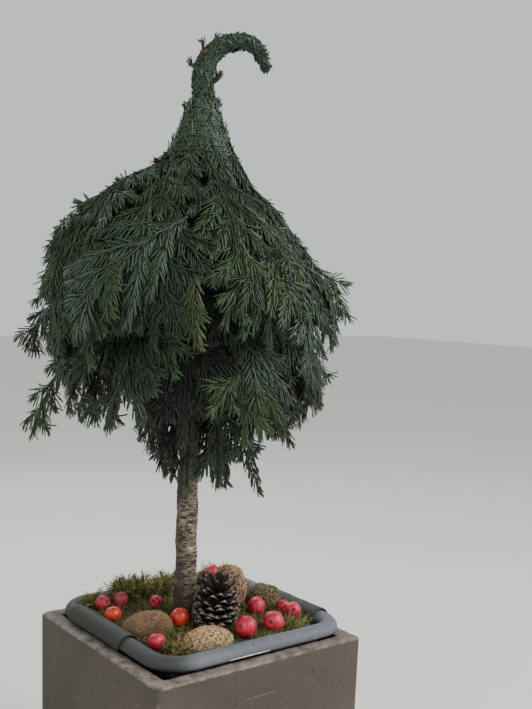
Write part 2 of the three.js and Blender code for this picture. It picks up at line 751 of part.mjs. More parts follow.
cone.position.set(CONE.x, CONE.y, mossHeight(CONE.x, CONE.y) - CONE.sink);
cone.rotation.set(CONE.lean[0], CONE.lean[1], 0, "ZYX");
layInBed(cone, solidOf(conePocket()));
bedGroup.add(meshOf("moss_bed", bed, MATERIALS.moss));

const plantGroup = new THREE.Group();
plantGroup.add(meshOf("birch_trunk", solidOf(trunk()), MATERIALS.bark));
plantGroup.add(meshOf("peak", peak().subtract(trunkSocket), MATERIALS.fir));
for (const { name, from, to, steps } of HOOK_PIECES) {
  const path = (share) => hookPath(THREE.MathUtils.lerp(from, to, share));
  const radius = (share) => hookRadius(THREE.MathUtils.lerp(from, to, share));
  plantGroup.add(meshOf(name, boundBundle(path, radius, 10, steps), MATERIALS.fir));
}
for (const tier of TIERS) {
  const tierGroup = new THREE.Group();
  tierGroup.position.copy(trunkAxis(tier.tie));
  for (let i = 0; i < tier.count; i += 1) {
    const arch = boughArch(tier, i);
    const holder = new THREE.Object3D();
    holder.position.copy(tierGroup.position);
    holder.rotation.z = arch.azimuth;
    holder.updateMatrix();
    const socket = trunkSocket.transform(holder.matrix.clone().invert().elements);
    const mesh = meshOf(`${tier.name}_${i + 1}`, firBough(arch).subtract(socket), MATERIALS.fir);
    mesh.rotation.z = arch.azimuth;
    tierGroup.add(mesh);
  }
  plantGroup.add(tierGroup);
}

const standard = new THREE.Group();
standard.add(planterGroup, bedGroup, plantGroup);

export default standard;
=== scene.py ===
# %% [markdown]
# # A fir-bough standard in a square planter
#
# Cut fir boughs are tied in tiers round a slim birch trunk, so that they hang like the brim and cone of a
# pointed hat. Its tip is a bundle of twigs, bound with thin wire, that hooks over to one side. Moss, stones,
# a pine cone and crab apples cover the soil of the liner pot, and the pot hangs in a square planter.
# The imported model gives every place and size. Here each of its plain solids gets its finish, and most are
# replaced by pieces with the real thing's detail.

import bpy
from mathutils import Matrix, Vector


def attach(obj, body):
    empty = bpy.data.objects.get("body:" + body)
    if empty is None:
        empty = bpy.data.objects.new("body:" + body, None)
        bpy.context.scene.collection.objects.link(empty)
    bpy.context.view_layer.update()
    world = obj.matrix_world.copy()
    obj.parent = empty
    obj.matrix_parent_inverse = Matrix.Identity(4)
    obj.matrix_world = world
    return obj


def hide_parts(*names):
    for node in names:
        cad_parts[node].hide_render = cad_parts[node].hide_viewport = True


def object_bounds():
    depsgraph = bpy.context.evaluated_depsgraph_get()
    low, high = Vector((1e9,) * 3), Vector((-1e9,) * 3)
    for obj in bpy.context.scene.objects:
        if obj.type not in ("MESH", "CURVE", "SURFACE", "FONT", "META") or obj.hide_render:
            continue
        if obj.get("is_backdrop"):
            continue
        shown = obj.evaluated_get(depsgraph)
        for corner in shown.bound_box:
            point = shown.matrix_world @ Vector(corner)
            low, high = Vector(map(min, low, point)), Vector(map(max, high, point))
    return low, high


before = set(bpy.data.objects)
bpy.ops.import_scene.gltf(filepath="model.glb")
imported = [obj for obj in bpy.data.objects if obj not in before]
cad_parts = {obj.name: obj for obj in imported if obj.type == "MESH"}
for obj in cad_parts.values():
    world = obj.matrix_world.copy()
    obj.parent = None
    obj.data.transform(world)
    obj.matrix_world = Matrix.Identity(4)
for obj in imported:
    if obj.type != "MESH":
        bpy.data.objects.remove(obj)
cad_low, cad_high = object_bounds()
print("packed model:", [round(size, 3) for size in cad_high - cad_low], "m,", len(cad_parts), "nodes")

# %% [markdown]
# Everything below is in metres, but the sizes of a plant in a pot are easier to read in millimetres. So the
# sizes are written in millimetres, and MM turns them into metres where a mesh is made.

# %% Tools used all through
import math
from contextlib import contextmanager

import bmesh
import bpy
import numpy as np
from mathutils import Matrix, Vector, noise

MM = 0.001
UP = Vector((0, 0, 1))


def only(piece):
    """Leaves edit mode and makes piece the one selected and active object."""
    if bpy.context.object and bpy.context.object.mode != "OBJECT":
        bpy.ops.object.mode_set(mode="OBJECT")
    bpy.ops.object.select_all(action="DESELECT")
    if piece:
        piece.select_set(True)
        bpy.context.view_layer.objects.active = piece
    return piece


@contextmanager
def editing(piece):
    """Edit mode on a piece, with all of it selected."""
    only(piece)
    bpy.ops.object.mode_set(mode="EDIT")
    bpy.ops.mesh.select_mode(type="VERT")
    bpy.ops.mesh.select_all(action="SELECT")
    yield
    bpy.ops.object.mode_set(mode="OBJECT")


def pick(piece, kind, test):
    """In edit mode, selects only the points (VERT), edges (EDGE) or faces (FACE) that pass a test."""
    bpy.ops.mesh.select_mode(type=kind)
    bpy.ops.mesh.select_all(action="DESELECT")
    mesh = bmesh.from_edit_mesh(piece.data)
    parts = {"VERT": mesh.verts, "EDGE": mesh.edges, "FACE": mesh.faces}[kind]
    for part in parts:
        if test(part):
            part.select_set(True)
    mesh.select_flush_mode()
    bmesh.update_edit_mesh(piece.data)


def modify(piece, kind, **settings):
    """Adds a modifier and applies it."""
    only(piece)
    modifier = piece.modifiers.new(kind.lower(), kind)
    for name, value in settings.items():
        setattr(modifier, name, value)
    bpy.ops.object.modifier_apply(modifier=modifier.name)
    return piece


def shape_points(piece, rule):
    """Moves each point of a piece to where rule, which takes and gives an array of places, says."""
    mesh = piece.data
    places = np.empty(len(mesh.vertices) * 3)
    mesh.vertices.foreach_get("co", places)
    mesh.vertices.foreach_set("co", rule(places.reshape(-1, 3)).ravel())
    mesh.update()
    return piece


def smooth(piece, angle=None):
    """Shades a piece smooth, all over or up to an angle in degrees."""
    only(piece)
    if angle:
        bpy.ops.object.shade_smooth_by_angle(angle=math.radians(angle))
    else:
        bpy.ops.object.shade_smooth()
    return piece


def set_place(piece):
    """Moves a piece's place and turn into its mesh, so that its object sits at the origin."""
    only(piece)
    bpy.ops.object.transform_apply(location=True, rotation=True, scale=True)
    return piece


def joined(pieces):
    """Joins pieces into the first of them."""
    only(pieces[0])
    for piece in pieces:
        piece.select_set(True)
    bpy.ops.object.join()
    return pieces[0]


def finished(piece, name, materials, stands_for=()):
    """Names a piece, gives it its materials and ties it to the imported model."""
    set_place(piece)
    piece.name = name
    piece.data.name = name
    if not piece.data.materials:
        for material in materials:
            piece.data.materials.append(material)
    if stands_for:
        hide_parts(*stands_for)
    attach(piece, "root")
    piece.data.calc_loop_triangles()
    print(f"{name}: {len(piece.data.loop_triangles)} triangles")
    return piece


# %% [markdown]
# ## Camera, floor and light
#
# The camera stands where the photographer stood: a step and a half from the plant, at the height of the
# boughs, looking across the planter's front corner and slightly down. It leans a little, as a camera held by
# hand does. The floor is plain and pale, and three large soft lights stand in for an overcast sky, the
# brightest one on the right, where the planter's face is lighter.

# %% Camera
LOOK_TURN = math.radians(37.6)  # the camera looks this far from +Y towards +X
CAMERA_PITCH = math.radians(3.49)
CAMERA_ROLL = math.radians(1.82)
CAMERA_PLACE = Vector((-786, -1170, 847)) * MM
LENS = 48.2

level_right = Vector((math.cos(LOOK_TURN), -math.sin(LOOK_TURN), 0))
level_ahead = Vector((math.sin(LOOK_TURN), math.cos(LOOK_TURN), 0))
ahead = level_ahead * math.cos(CAMERA_PITCH) - UP * math.sin(CAMERA_PITCH)
level_up = level_right.cross(ahead)
camera_right = level_right * math.cos(CAMERA_ROLL) + level_up * math.sin(CAMERA_ROLL)
camera_up = camera_right.cross(ahead)

bpy.ops.object.camera_add(location=CAMERA_PLACE)
camera = bpy.context.object
camera.name = "camera"
camera.data.lens = LENS
axes = Matrix((camera_right, camera_up, -ahead)).transposed()
camera.matrix_world = Matrix.Translation(CAMERA_PLACE) @ axes.to_4x4()
bpy.context.scene.camera = camera
print("camera at", [round(value, 3) for value in camera.location])


# %% Helpers for materials
def new_material(name, **values):
    """A node material with a Principled BSDF: gives the material, its tree and the shader."""
    material = bpy.data.materials.new(name)
    material.use_nodes = True
    shader = material.node_tree.nodes["Principled BSDF"]
    for socket, value in values.items():
        shader.inputs[socket.replace("_", " ")].default_value = value
    return material, material.node_tree, shader


def feed(tree, socket, value):
    """Gives an input socket a plain value, or a link from another node's output."""
    if isinstance(value, bpy.types.NodeSocket):
        tree.links.new(value, socket)
    else:
        socket.default_value = value


def add_node(tree, kind, values=None, **settings):
    """Adds a shader node. values holds a number or another node's output for each of its inputs."""
    made = tree.nodes.new("ShaderNode" + kind)
    for name, value in settings.items():
        setattr(made, name, value)
    for socket, value in (values or {}).items():
        feed(tree, made.inputs[socket], value)
    return made


def colour(code):
    """A linear colour from the usual six-digit code."""
    parts = [int(code[i : i + 2], 16) / 255 for i in (1, 3, 5)]
    return (*[part / 12.92 if part <= 0.04045 else ((part + 0.055) / 1.055) ** 2.4 for part in parts], 1)


def mix(tree, factor, first, second):
    """A colour between two colours."""
    return add_node(tree, "Mix", {0: factor, 6: first, 7: second}, data_type="RGBA").outputs[2]


def painted(shader, tone):
    """Links a colour to a shader."""
    shader.id_data.links.new(tone, shader.inputs["Base Color"])


def number(tree, operation, first, second=0.5, clamp=False):
    """A number worked out from two others."""
    node = add_node(tree, "Math", {0: first, 1: second}, operation=operation, use_clamp=clamp)
    return node.outputs[0]


def share_of(tree, value, share):
    """A mask or a height, made weaker."""
    return number(tree, "MULTIPLY", value, share)


def between(tree, value, low, high, to_low=0.0, to_high=1.0):
    """value, carried smoothly from the range low to high to another range."""
    settings = {"Value": value, "From Min": low, "From Max": high, "To Min": to_low, "To Max": to_high}
    return add_node(tree, "MapRange", settings, interpolation_type="SMOOTHSTEP").outputs["Result"]


def object_places(tree, stretch=None):
    """Object coordinates for a pattern, stretched where it runs in one direction."""
    places = add_node(tree, "TexCoord").outputs["Object"]
    if stretch is None:
        return places
    return add_node(tree, "Mapping", {"Vector": places, "Scale": stretch}).outputs[0]


# %% Floor, backdrop and lights
FLOOR_SIZE = 30
LIGHTS_LOOK_AT = Vector((0, 0, 0.75))  # the middle of the plant
floor_finish, tree, shader = new_material("pale_floor", Roughness=0.8)
drift = add_node(tree, "TexNoise", {"Vector": object_places(tree), "Scale": 3.0 / FLOOR_SIZE, "Detail": 2.0})
painted(shader, mix(tree, drift.outputs[0], colour("#dcdad6"), colour("#e2e0dc")))
bpy.ops.mesh.primitive_plane_add(size=FLOOR_SIZE)
floor = bpy.context.object
floor.name = "floor"
floor.data.materials.append(floor_finish)
floor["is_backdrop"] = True

world = bpy.data.worlds.new("pale_room")
world.use_nodes = True
backdrop = world.node_tree.nodes["Background"].inputs
backdrop["Color"].default_value = colour("#e6e8ea")
backdrop["Strength"].default_value = 0.95
bpy.context.scene.world = world


def soft_light(name, place, size, power, tint):
    """A large area light that looks at the middle of the plant."""
    bpy.ops.object.light_add(type="AREA", location=place)
    light = bpy.context.object
    light.name = name
    light.data.shape = "DISK"
    light.data.size = size
    light.data.energy = power
    light.data.color = tint
    light.rotation_euler = (LIGHTS_LOOK_AT - light.location).to_track_quat("-Z", "Y").to_euler()


soft_light("sky_right", Vector((1.5, -2.1, 2.6)), 2.4, 116, (1.0, 0.98, 0.95))
soft_light("sky_left", Vector((-2.6, -0.9, 1.9)), 2.0, 19, (0.93, 0.96, 1.0))
soft_light("sky_behind", Vector((0.6, 2.4, 2.2)), 2.0, 26, (0.95, 0.98, 1.0))
print("floor, world and three soft lights")


# %% [markdown]
# ## Shared finishes
#
# Cement, plastic, bark and stone all have a colour that wanders between two tones, a fine relief and small
# specks. Each of those effects is a node group, made once here and placed in a material with its own values.
# They read Object coordinates, so the patterns have a real size and stay on their piece.


# %% Node groups
def new_group(name, values, outputs):
    """A node group with a Vector and named inputs: gives its tree, what comes in and what goes out."""
    tree = bpy.data.node_groups.new(name, "ShaderNodeTree")
    tree.interface.new_socket("Vector", in_out="INPUT", socket_type="NodeSocketVector")
    for socket, value in values.items():
        kind = "NodeSocketColor" if isinstance(value, tuple) else "NodeSocketFloat"
        tree.interface.new_socket(socket, in_out="INPUT", socket_type=kind).default_value = value
    for socket, kind in outputs.items():
        tree.interface.new_socket(socket, in_out="OUTPUT", socket_type="NodeSocket" + kind)
    return tree, tree.nodes.new("NodeGroupInput").outputs, tree.nodes.new("NodeGroupOutput").inputs


def place_group(tree, group, values):
    """Puts a node group in a material."""
    return add_node(tree, "Group", values, node_tree=group)


wander_values = {"Scale": 10.0, "Detail": 6.0, "Softness": 0.15, "Balance": 0.5}
wander_values.update(First=colour("#000000"), Second=colour("#ffffff"))
wander, source, result = new_group("colour_wander", wander_values, {"Colour": "Color", "Mask": "Float"})
clouds = add_node(wander, "TexNoise", {name: source[name] for name in ("Vector", "Scale", "Detail")})
low = number(wander, "SUBTRACT", source["Balance"], source["Softness"])
high = number(wander, "ADD", source["Balance"], source["Softness"])
mask = between(wander, clouds.outputs[0], low, high)
wander.links.new(mix(wander, mask, source["First"], source["Second"]), result["Colour"])
wander.links.new(mask, result["Mask"])

relief_values = {"Scale": 200.0, "Depth": 0.0005, "Extra height": 0.0}
relief, source, result = new_group("fine_relief", relief_values, {"Normal": "Vector"})
grain = add_node(relief, "TexNoise", {"Vector": source["Vector"], "Scale": source["Scale"], "Detail": 5.0})
height = number(relief, "ADD", grain.outputs[0], source["Extra height"])
bump = add_node(relief, "Bump", {"Height": height, "Distance": source["Depth"], "Strength": 1.0})
relief.links.new(bump.outputs[0], result["Normal"])

specks, source, result = new_group("scattered_specks", {"Scale": 80.0, "Size": 0.15}, {"Mask": "Float"})
cells = add_node(specks, "TexVoronoi", {"Vector": source["Vector"], "Scale": source["Scale"]})
of_the_cell = add_node(specks, "SeparateColor", {"Color": cells.outputs["Color"]}).outputs[0]
reach = number(specks, "MULTIPLY", number(specks, "POWER", of_the_cell, 3.0), source["Size"])
inside = number(specks, "LESS_THAN", cells.outputs["Distance"], reach)
specks.links.new(inside, result["Mask"])
print("node groups:", [group.name for group in bpy.data.node_groups])


# %% Shared finishes, put in a material
def wandering(tree, places, scale, tones=("#000000", "#ffffff"), **values):
    """The outputs of the wander group: its Mask, and its Colour between two tones."""
    values.update({"Vector": places, "Scale": scale, "First": colour(tones[0]), "Second": colour(tones[1])})
    return place_group(tree, wander, values).outputs


def speckled(tree, places, scale, size):
    """The mask of the specks group."""
    return place_group(tree, specks, {"Vector": places, "Scale": scale, "Size": size}).outputs["Mask"]


def roughened(tree, shader, places, scale, depth, extra=0.0):
    """Links the relief group to a shader."""
    values = {"Vector": places, "Scale": scale, "Depth": depth, "Extra height": extra}
    tree.links.new(place_group(tree, relief, values).outputs["Normal"], shader.inputs["Normal"])


# %% [markdown]
# ## Planter
#
# The planter is cast from taupe fibre cement: flat sides that taper a little, a flat lip, and edges that are
# paler where they have been rubbed and chipped. Its walls are bridged over rounded square loops, from the
# foot up the outside, over the lip and down the inside. The lip's long edges are then subdivided, so that
# they can be worn a little uneven, which a clean box would never be.

# %% Rounded square loops
PLANTER = {"half": 175, "foot": 169, "height": 350, "wall": 25, "floor": 22, "corner": 5}


def loop_skin(loops, segments):
    """A skin bridged over rounded square loops (half side, corner radius, height), shut at both ends."""
    rings = []
    for half, corner, level in loops:
        bpy.ops.mesh.primitive_plane_add(size=2 * half * MM, location=(0, 0, level * MM))
        rings.append(set_place(bpy.context.object))
        with editing(rings[-1]):
            bpy.ops.mesh.bevel(offset=corner * MM, segments=segments, affect="VERTICES")
            bpy.ops.mesh.select_all(action="SELECT")
            if len(rings) not in (1, len(loops)):
                bpy.ops.mesh.delete(type="ONLY_FACE")
    skin = joined(rings)
    per_ring = len(skin.data.vertices) // len(loops)
    with editing(skin):
        for first in range(len(loops) - 1):
            bmesh.from_edit_mesh(skin.data).verts.index_update()
            rings = ({first}, {first + 1})
            pick(skin, "EDGE", lambda edge: {v.index // per_ring for v in edge.verts} in rings)
            bpy.ops.mesh.bridge_edge_loops()
        bpy.ops.mesh.select_all(action="SELECT")
        bpy.ops.mesh.normals_make_consistent(inside=False)
    return skin


# %% Planter
LIP_START = (PLANTER["height"] - 7) * MM
LIP = {"turns": (20, 50, 80), "across": 3, "high": 3.4, "pulled_in": 1.2}  # its rounded outer edge
WEAR = {"often": 60, "depth": 1.7, "inward": 4, "down": 0.8}  # often: how many chips to the metre, about


def planter_loops():
    """The planter's loops: up the outside, over the lip and down the inside."""
    half, foot, height = PLANTER["half"], PLANTER["foot"], PLANTER["height"]
    wall, ground, corner = PLANTER["wall"], PLANTER["floor"], PLANTER["corner"]
    edge = half - LIP["pulled_in"]
    loops = [(foot - 2, corner, 0), (foot, corner, 2), (edge, corner, height - 6)]
    for turn in LIP["turns"]:
        inward, down = 1 - math.cos(math.radians(turn)), 1 - math.sin(math.radians(turn))
        loops.append((edge - LIP["across"] * inward, corner, height - LIP["high"] * down))
    loops += [(half - wall + 3, corner, height), (half - wall + 1, corner, height - 1)]
    loops += [(half - wall, corner, height - 4), (foot - wall, corner, ground)]
    return loops


def worn_lip(places):
    """Chips the lip: its points sink and pull in where the noise is high."""
    moved = places.copy()
    for row in np.flatnonzero(places[:, 2] > LIP_START):
        spot = Vector(places[row]) * WEAR["often"]
        wear = max(0.0, noise.noise(spot) + 0.5 * noise.noise(spot * 3.1)) * WEAR["depth"] * MM
        moved[row, :2] *= 1 - wear * WEAR["inward"]
        moved[row, 2] -= wear * WEAR["down"]
    return moved


planter = loop_skin(planter_loops(), 5)
with editing(planter):
    pick(planter, "EDGE", lambda e: min(v.co.z for v in e.verts) > LIP_START and e.calc_length() > 0.2)
    bpy.ops.mesh.subdivide(number_cuts=80)
    pick(planter, "FACE", lambda face: face.calc_center_median().z > LIP_START)
    bpy.ops.mesh.quads_convert_to_tris()
shape_points(planter, worn_lip)
smooth(planter, 40)

# %% [markdown]
# The cement's colour drifts between two taupes over a hand's breadth, with finer flecks. Rubbing has left
# pale marks along the lip and up the corners, and small pits have gathered dirt. The marks are masks made
# from the distance to the corner and to the lip, broken up by noise.

# %% Fibre cement
CORNER_RUB = [(PLANTER["half"] - inward) * MM for inward in (17, 2)]
LIP_RUB = [(PLANTER["height"] - below) * MM for below in (7.5, 1.5)]
cement, tree, shader = new_material("fibre_cement", Roughness=0.82, IOR=1.45)
places = object_places(tree)
broad = wandering(tree, places, 9.0, ("#423c33", "#514941"), Softness=0.28)
fine = wandering(tree, places, 190.0, Detail=3.0, Softness=0.12, Balance=0.62)
flecked = mix(tree, share_of(tree, fine["Mask"], 0.22), broad["Colour"], colour("#6e655b"))

x, y, level = add_node(tree, "SeparateXYZ", {0: places}).outputs
nearer_middle = number(tree, "MINIMUM", number(tree, "ABSOLUTE", x), number(tree, "ABSOLUTE", y))
at_corner = share_of(tree, between(tree, nearer_middle, *CORNER_RUB), 0.75)
at_edge = number(tree, "MAXIMUM", at_corner, between(tree, level, *LIP_RUB))
rub = add_node(tree, "TexNoise", {"Vector": places, "Scale": 55.0, "Detail": 8.0, "Roughness": 0.7})
worn = between(tree, number(tree, "MULTIPLY", at_edge, rub.outputs[0]), 0.3, 0.62)
worn_colour = mix(tree, share_of(tree, worn, 0.75), flecked, colour("#8f867b"))

along_scratch = {"Vector": places, "Rotation": (0.5, 0.9, 0.2), "Scale": (14, 14, 150)}
streak_places = add_node(tree, "Mapping", along_scratch).outputs[0]
streaks = add_node(tree, "TexNoise", {"Vector": streak_places, "Scale": 1.0, "Detail": 4.0})
scratch = between(tree, streaks.outputs[0], 0.69, 0.74)
scratched = mix(tree, share_of(tree, scratch, 0.16), worn_colour, colour("#a79c90"))
pits = speckled(tree, places, 60.0, 0.16)
pitted = mix(tree, share_of(tree, pits, 0.7), scratched, colour("#26211e"))
painted(shader, pitted)
roughened(tree, shader, places, 240.0, 0.0006, share_of(tree, pits, -1.5))
finished(planter, "cement_planter", [cement], ["planter"])

# %% [markdown]
# ## Liner pot
#
# A slate-grey plastic pot hangs in the planter by its rolled rim. The rim is a wide flattened roll, so its
# loops follow half an ellipse. Over the middle of two sides it carries a sleeve, a grip to lift the pot by.
# The plastic is satin, and years of use have scuffed it.

# %% Pot with its rolled rim
RIM = {"outer": 164, "inner": 137, "height": 20, "middle": 7, "corner": 54}
LINER = {"half": 139, "foot": 118, "bottom": 62, "wall": 3, "corner": 40}
LINER_PLACE = np.array([9, 7, 0])  # the pot hangs a little off the planter's middle
RIM_SEAT = PLANTER["height"] + 0.35
RIM_MIDDLE = (RIM["outer"] + RIM["inner"]) / 2
RIM_ROLL = (RIM["outer"] - RIM["inner"]) / 2
RIM_CENTRE = RIM_SEAT + RIM["middle"]


def on_roll(turn, proud=0.0):
    """Half side and height of a point on the rim's roll; turn is 0 outside, 90 on top and 180 inside."""
    angle = math.radians(turn)
    rise = (RIM["height"] - RIM["middle"] + proud) * math.sin(angle)
    if rise < 0:
        rise *= 0.5
    return RIM_MIDDLE + (RIM_ROLL + proud) * math.cos(angle), RIM_CENTRE + rise


def liner_loops():
    """The pot's loops: up the outside, round the rolled rim and down the inside."""
    half, foot, bottom, wall, corner = (LINER[key] for key in ("half", "foot", "bottom", "wall", "corner"))
    loops = [(foot, corner, bottom), (half + 1, corner, RIM_SEAT - 4)]
    loops.append((half + wall, RIM["corner"] - (RIM["outer"] - half - wall), RIM_SEAT))
    for turn in range(-75, 200, 15):
        at, level = on_roll(turn)
        loops.append((at, RIM["corner"] - (RIM["outer"] - at), level))
    return loops + [(half - wall, corner, RIM_SEAT - 7), (foot - wall, corner, bottom + wall)]


liner = smooth(loop_skin(liner_loops(), 10), 50)
liner.location = Vector(LINER_PLACE) * MM


# %% Grip sleeves
SLEEVE = {"start": -105, "end": 49, "proud": 1.6, "thickness": 2.2, "uneven": 0.2}


def grip_sleeve(side):
    """A sleeve bent over the rim: an arc of the roll, extruded along it and given its thickness."""
    bpy.ops.mesh.primitive_circle_add(vertices=48, radius=1, rotation=(math.radians(90), 0, 0))
    sleeve = set_place(bpy.context.object)
    with editing(sleeve):
        pick(sleeve, "VERT", lambda v: v.co.z < -0.3)
        bpy.ops.mesh.delete(type="VERT")
        bpy.ops.mesh.select_all(action="SELECT")
        bpy.ops.mesh.extrude_region_move(TRANSFORM_OT_translate={"value": (0, 1, 0)})
        pick(sleeve, "EDGE", lambda e: abs(e.verts[0].co.y - e.verts[1].co.y) > 0.5)
        bpy.ops.mesh.subdivide(number_cuts=30)

    def over_the_rim(places):
        turns = np.degrees(np.arctan2(places[:, 2], places[:, 0]))
        rolled = np.array([on_roll(turn, SLEEVE["proud"]) for turn in turns])
        along = SLEEVE["start"] + places[:, 1] * (SLEEVE["end"] - SLEEVE["start"])
        sag = SLEEVE["uneven"] * np.sin(along / 9) * np.sin(along / 23)
        return np.column_stack([rolled[:, 0] + sag, along, rolled[:, 1] + sag]) * MM

    shape_points(sleeve, over_the_rim)
    modify(sleeve, "SOLIDIFY", thickness=SLEEVE["thickness"] * MM, offset=1)
    modify(sleeve, "BEVEL", width=0.7 * MM, segments=2, limit_method="ANGLE")
    sleeve.rotation_euler.z = 0 if side == "right" else math.pi
    sleeve.location = Vector(LINER_PLACE) * MM
    return smooth(sleeve, 45)


sleeves = {side: grip_sleeve(side) for side in ("right", "left")}
print("liner pot and", len(sleeves), "sleeves")


# %% [markdown]
# The rim and its sleeves are the same plastic in two greys. The colour wanders a little, dust dulls the tops,
# and fine scuffs run along the rim. Their left side is darkened by painted shade. On the near side a blob of
# white paint has dried to a thin streak, a small ribbon of its own that lies on the roll.

# %% Scuffed plastic
# Painted shade: the plastic is darkened on its left side, fading towards the middle.
LEFT_SIDE_SHADE = {"from": -0.135, "to": -0.085, "share": 0.8}  # it fades towards the middle, in metres of x


def scuffed_plastic(name, dark, light, roughness):
    """Satin plastic with scuffs, painted shade on its left side, dirt and soft dents."""
    material, tree, shader = new_material(name, IOR=1.46)
    places = object_places(tree)
    base = wandering(tree, places, 14.0, (dark, light), Softness=0.3)
    scuffs = wandering(tree, object_places(tree, (1, 1, 3)), 95.0, Softness=0.06, Balance=0.64)["Mask"]
    scuffed = mix(tree, share_of(tree, scuffs, 0.35), base["Colour"], colour("#9aa0a5"))
    off_side = add_node(tree, "SeparateXYZ", {0: places}).outputs[0]
    # painted shade on the left side, mixed towards a near-black green
    film = between(tree, off_side, LEFT_SIDE_SHADE["from"], LEFT_SIDE_SHADE["to"], 1, 0)
    shaded_on_left = mix(tree, share_of(tree, film, LEFT_SIDE_SHADE["share"]), scuffed, colour("#26281f"))
    dirt = share_of(tree, speckled(tree, places, 130.0, 0.2), 0.8)
    painted(shader, mix(tree, dirt, shaded_on_left, colour("#2b2620")))
    shine = between(tree, scuffs, 0, 1, roughness, roughness + 0.25)
    tree.links.new(shine, shader.inputs["Roughness"])
    roughened(tree, shader, places, 34.0, 0.0012)
    return material


slate_plastic = scuffed_plastic("slate_plastic", "#575a62", "#696c75", 0.66)
sleeve_plastic = scuffed_plastic("sleeve_plastic", "#2c312c", "#373d37", 0.66)
finished(liner, "liner_pot_with_rim", [slate_plastic], ["liner_pot"])
for side, sleeve in sleeves.items():
    finished(sleeve, f"grip_sleeve_{side}", [sleeve_plastic], [f"rim_grip_{side}"])

# %% Streak of dried paint on the near rim
STREAK = {"from": (-51, 193), "to": (18, 191), "width": 2.4}
streak_finish, tree, shader = new_material("dried_paint", Roughness=0.6)
tone = wandering(tree, object_places(tree), 300.0, ("#e4e2da", "#ffffff"))
painted(shader, tone["Colour"])
bpy.ops.mesh.primitive_grid_add(x_subdivisions=40, y_subdivisions=4, size=1)
streak = bpy.context.object


def along_the_roll(places):
    """Lays the flat ribbon on the rim's near side, narrow at its ends."""
    share = places[:, 0] + 0.5
    wobble = np.array([noise.noise(Vector((value * 7, 0, 3))) for value in share])
    width = STREAK["width"] * (0.35 + np.sin(np.pi * share)) * (1 + 0.6 * wobble)
    (x_start, turn_start), (x_end, turn_end) = STREAK["from"], STREAK["to"]
    turns = turn_start + (turn_end - turn_start) * share + 4 * wobble + places[:, 1] * width * 5
    rolled = np.array([on_roll(180 - turn, 0.15) for turn in turns])
    x, y = x_start + (x_end - x_start) * share, LINER_PLACE[1] - rolled[:, 0]
    return np.column_stack([x, y, rolled[:, 1]]) * MM


shape_points(streak, along_the_roll)
modify(streak, "SOLIDIFY", thickness=0.3 * MM, offset=1)
finished(smooth(streak), "paint_streak", [streak_finish])

# %% [markdown]
# ## Soil
#
# Between the moss and the pot's wall a little dark soil shows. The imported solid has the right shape, so it
# stays, and only gets a crumbly finish.

# %% Soil
soil_finish, tree, shader = new_material("dark_soil", Roughness=0.95)
places = object_places(tree)
crumbs = wandering(tree, places, 160.0, ("#17110c", "#3a2c20"), Softness=0.2)
painted(shader, crumbs["Colour"])
roughened(tree, shader, places, 220.0, 0.003)
for material_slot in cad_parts["soil"].material_slots:
    material_slot.material = soil_finish
print("soil keeps its solid")

# %% [markdown]
# ## The bed of moss
#
# The moss is a low pillow with thousands of fine sprigs. The pillow is a grid, pulled to the pot's rounded
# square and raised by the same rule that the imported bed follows, plus small lumps. Its rim is extruded down
# so that it is closed. Where a tuft grows, the pillow swells, and the sprigs on it are longer.

# %% Height of the moss
MOSS = {"edge": 361, "crown": 5.5, "back_rise": 9, "bump": 1.8, "half": 134, "corner_pull": 0.144}
TUFTS = [  # x, y, and how wide, deep and tall it is
    (-50, 108, (52, 40, 26)),
    (8, 104, (62, 40, 17)),
    (-106, 117, (28, 22, 12)),
    (94, 100, (40, 36, 15)),
    (-98, -100, (32, 28, 9)),
    (94, -108, (36, 30, 5)),
]


def moss_height(x, y):
    """Height of the moss bed's smooth surface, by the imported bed's own rule."""
    off_middle = np.maximum(np.abs(x - LINER_PLACE[0]), np.abs(y - LINER_PLACE[1]))
    outward = np.minimum(1, off_middle / MOSS["half"])
    rise = MOSS["crown"] * (1 - outward**2) + MOSS["back_rise"] * (x + y) / (2 * MOSS["half"])
    return MOSS["edge"] + rise + MOSS["bump"] * np.sin(x / 15 + 1) * np.cos(y / 13)


def tuft_height(x, y):
    """How far the tufts swell above that surface."""
    swell = np.zeros_like(np.asarray(x, float))
    for middle_x, middle_y, (wide, deep, tall) in TUFTS:
        distance = ((x - middle_x) / (wide / 2)) ** 2 + ((y - middle_y) / (deep / 2)) ** 2
        swell = np.maximum(swell, 0.62 * tall * np.sqrt(np.clip(1 - distance, 0, 1)))
    return swell


# %% Moss pillow
PILLOW = {"grid": 120, "lumps": 1.6, "lump_size": 9, "edge_drop": 5, "skirt": 14}


def on_bed(across, deep):
    """Where a point of a square from -1 to 1 lies on the bed, whose corners are pulled in."""
    x = LINER_PLACE[0] + MOSS["half"] * across * np.sqrt(1 - MOSS["corner_pull"] * deep**2)
    y = LINER_PLACE[1] + MOSS["half"] * deep * np.sqrt(1 - MOSS["corner_pull"] * across**2)
    return x, y


def pillow_shape(places):
    """Pulls a flat grid to the bed's outline and raises it to the bed's height, with small lumps."""
    across, deep = places[:, 0], places[:, 1]
    x, y = on_bed(across, deep)
    size = PILLOW["lump_size"]
    lumps = np.array([noise.fractal(Vector((a / size, b / size, 0)), 0.9, 2, 3) for a, b in zip(x, y)])
    edge = np.maximum(np.abs(across), np.abs(deep)) ** 12
    level = moss_height(x, y) + tuft_height(x, y) + PILLOW["lumps"] * lumps - PILLOW["edge_drop"] * edge
    return np.column_stack([x, y, level]) * MM


bpy.ops.mesh.primitive_grid_add(x_subdivisions=PILLOW["grid"], y_subdivisions=PILLOW["grid"], size=2)
pillow = shape_points(bpy.context.object, pillow_shape)
with editing(pillow):
    pick(pillow, "EDGE", lambda edge: edge.is_boundary)
    bpy.ops.mesh.extrude_region_move(TRANSFORM_OT_translate={"value": (0, 0, -PILLOW["skirt"] * MM)})
    bpy.ops.mesh.edge_face_add()
    bpy.ops.mesh.select_all(action="SELECT")
    bpy.ops.mesh.normals_make_consistent(inside=False)

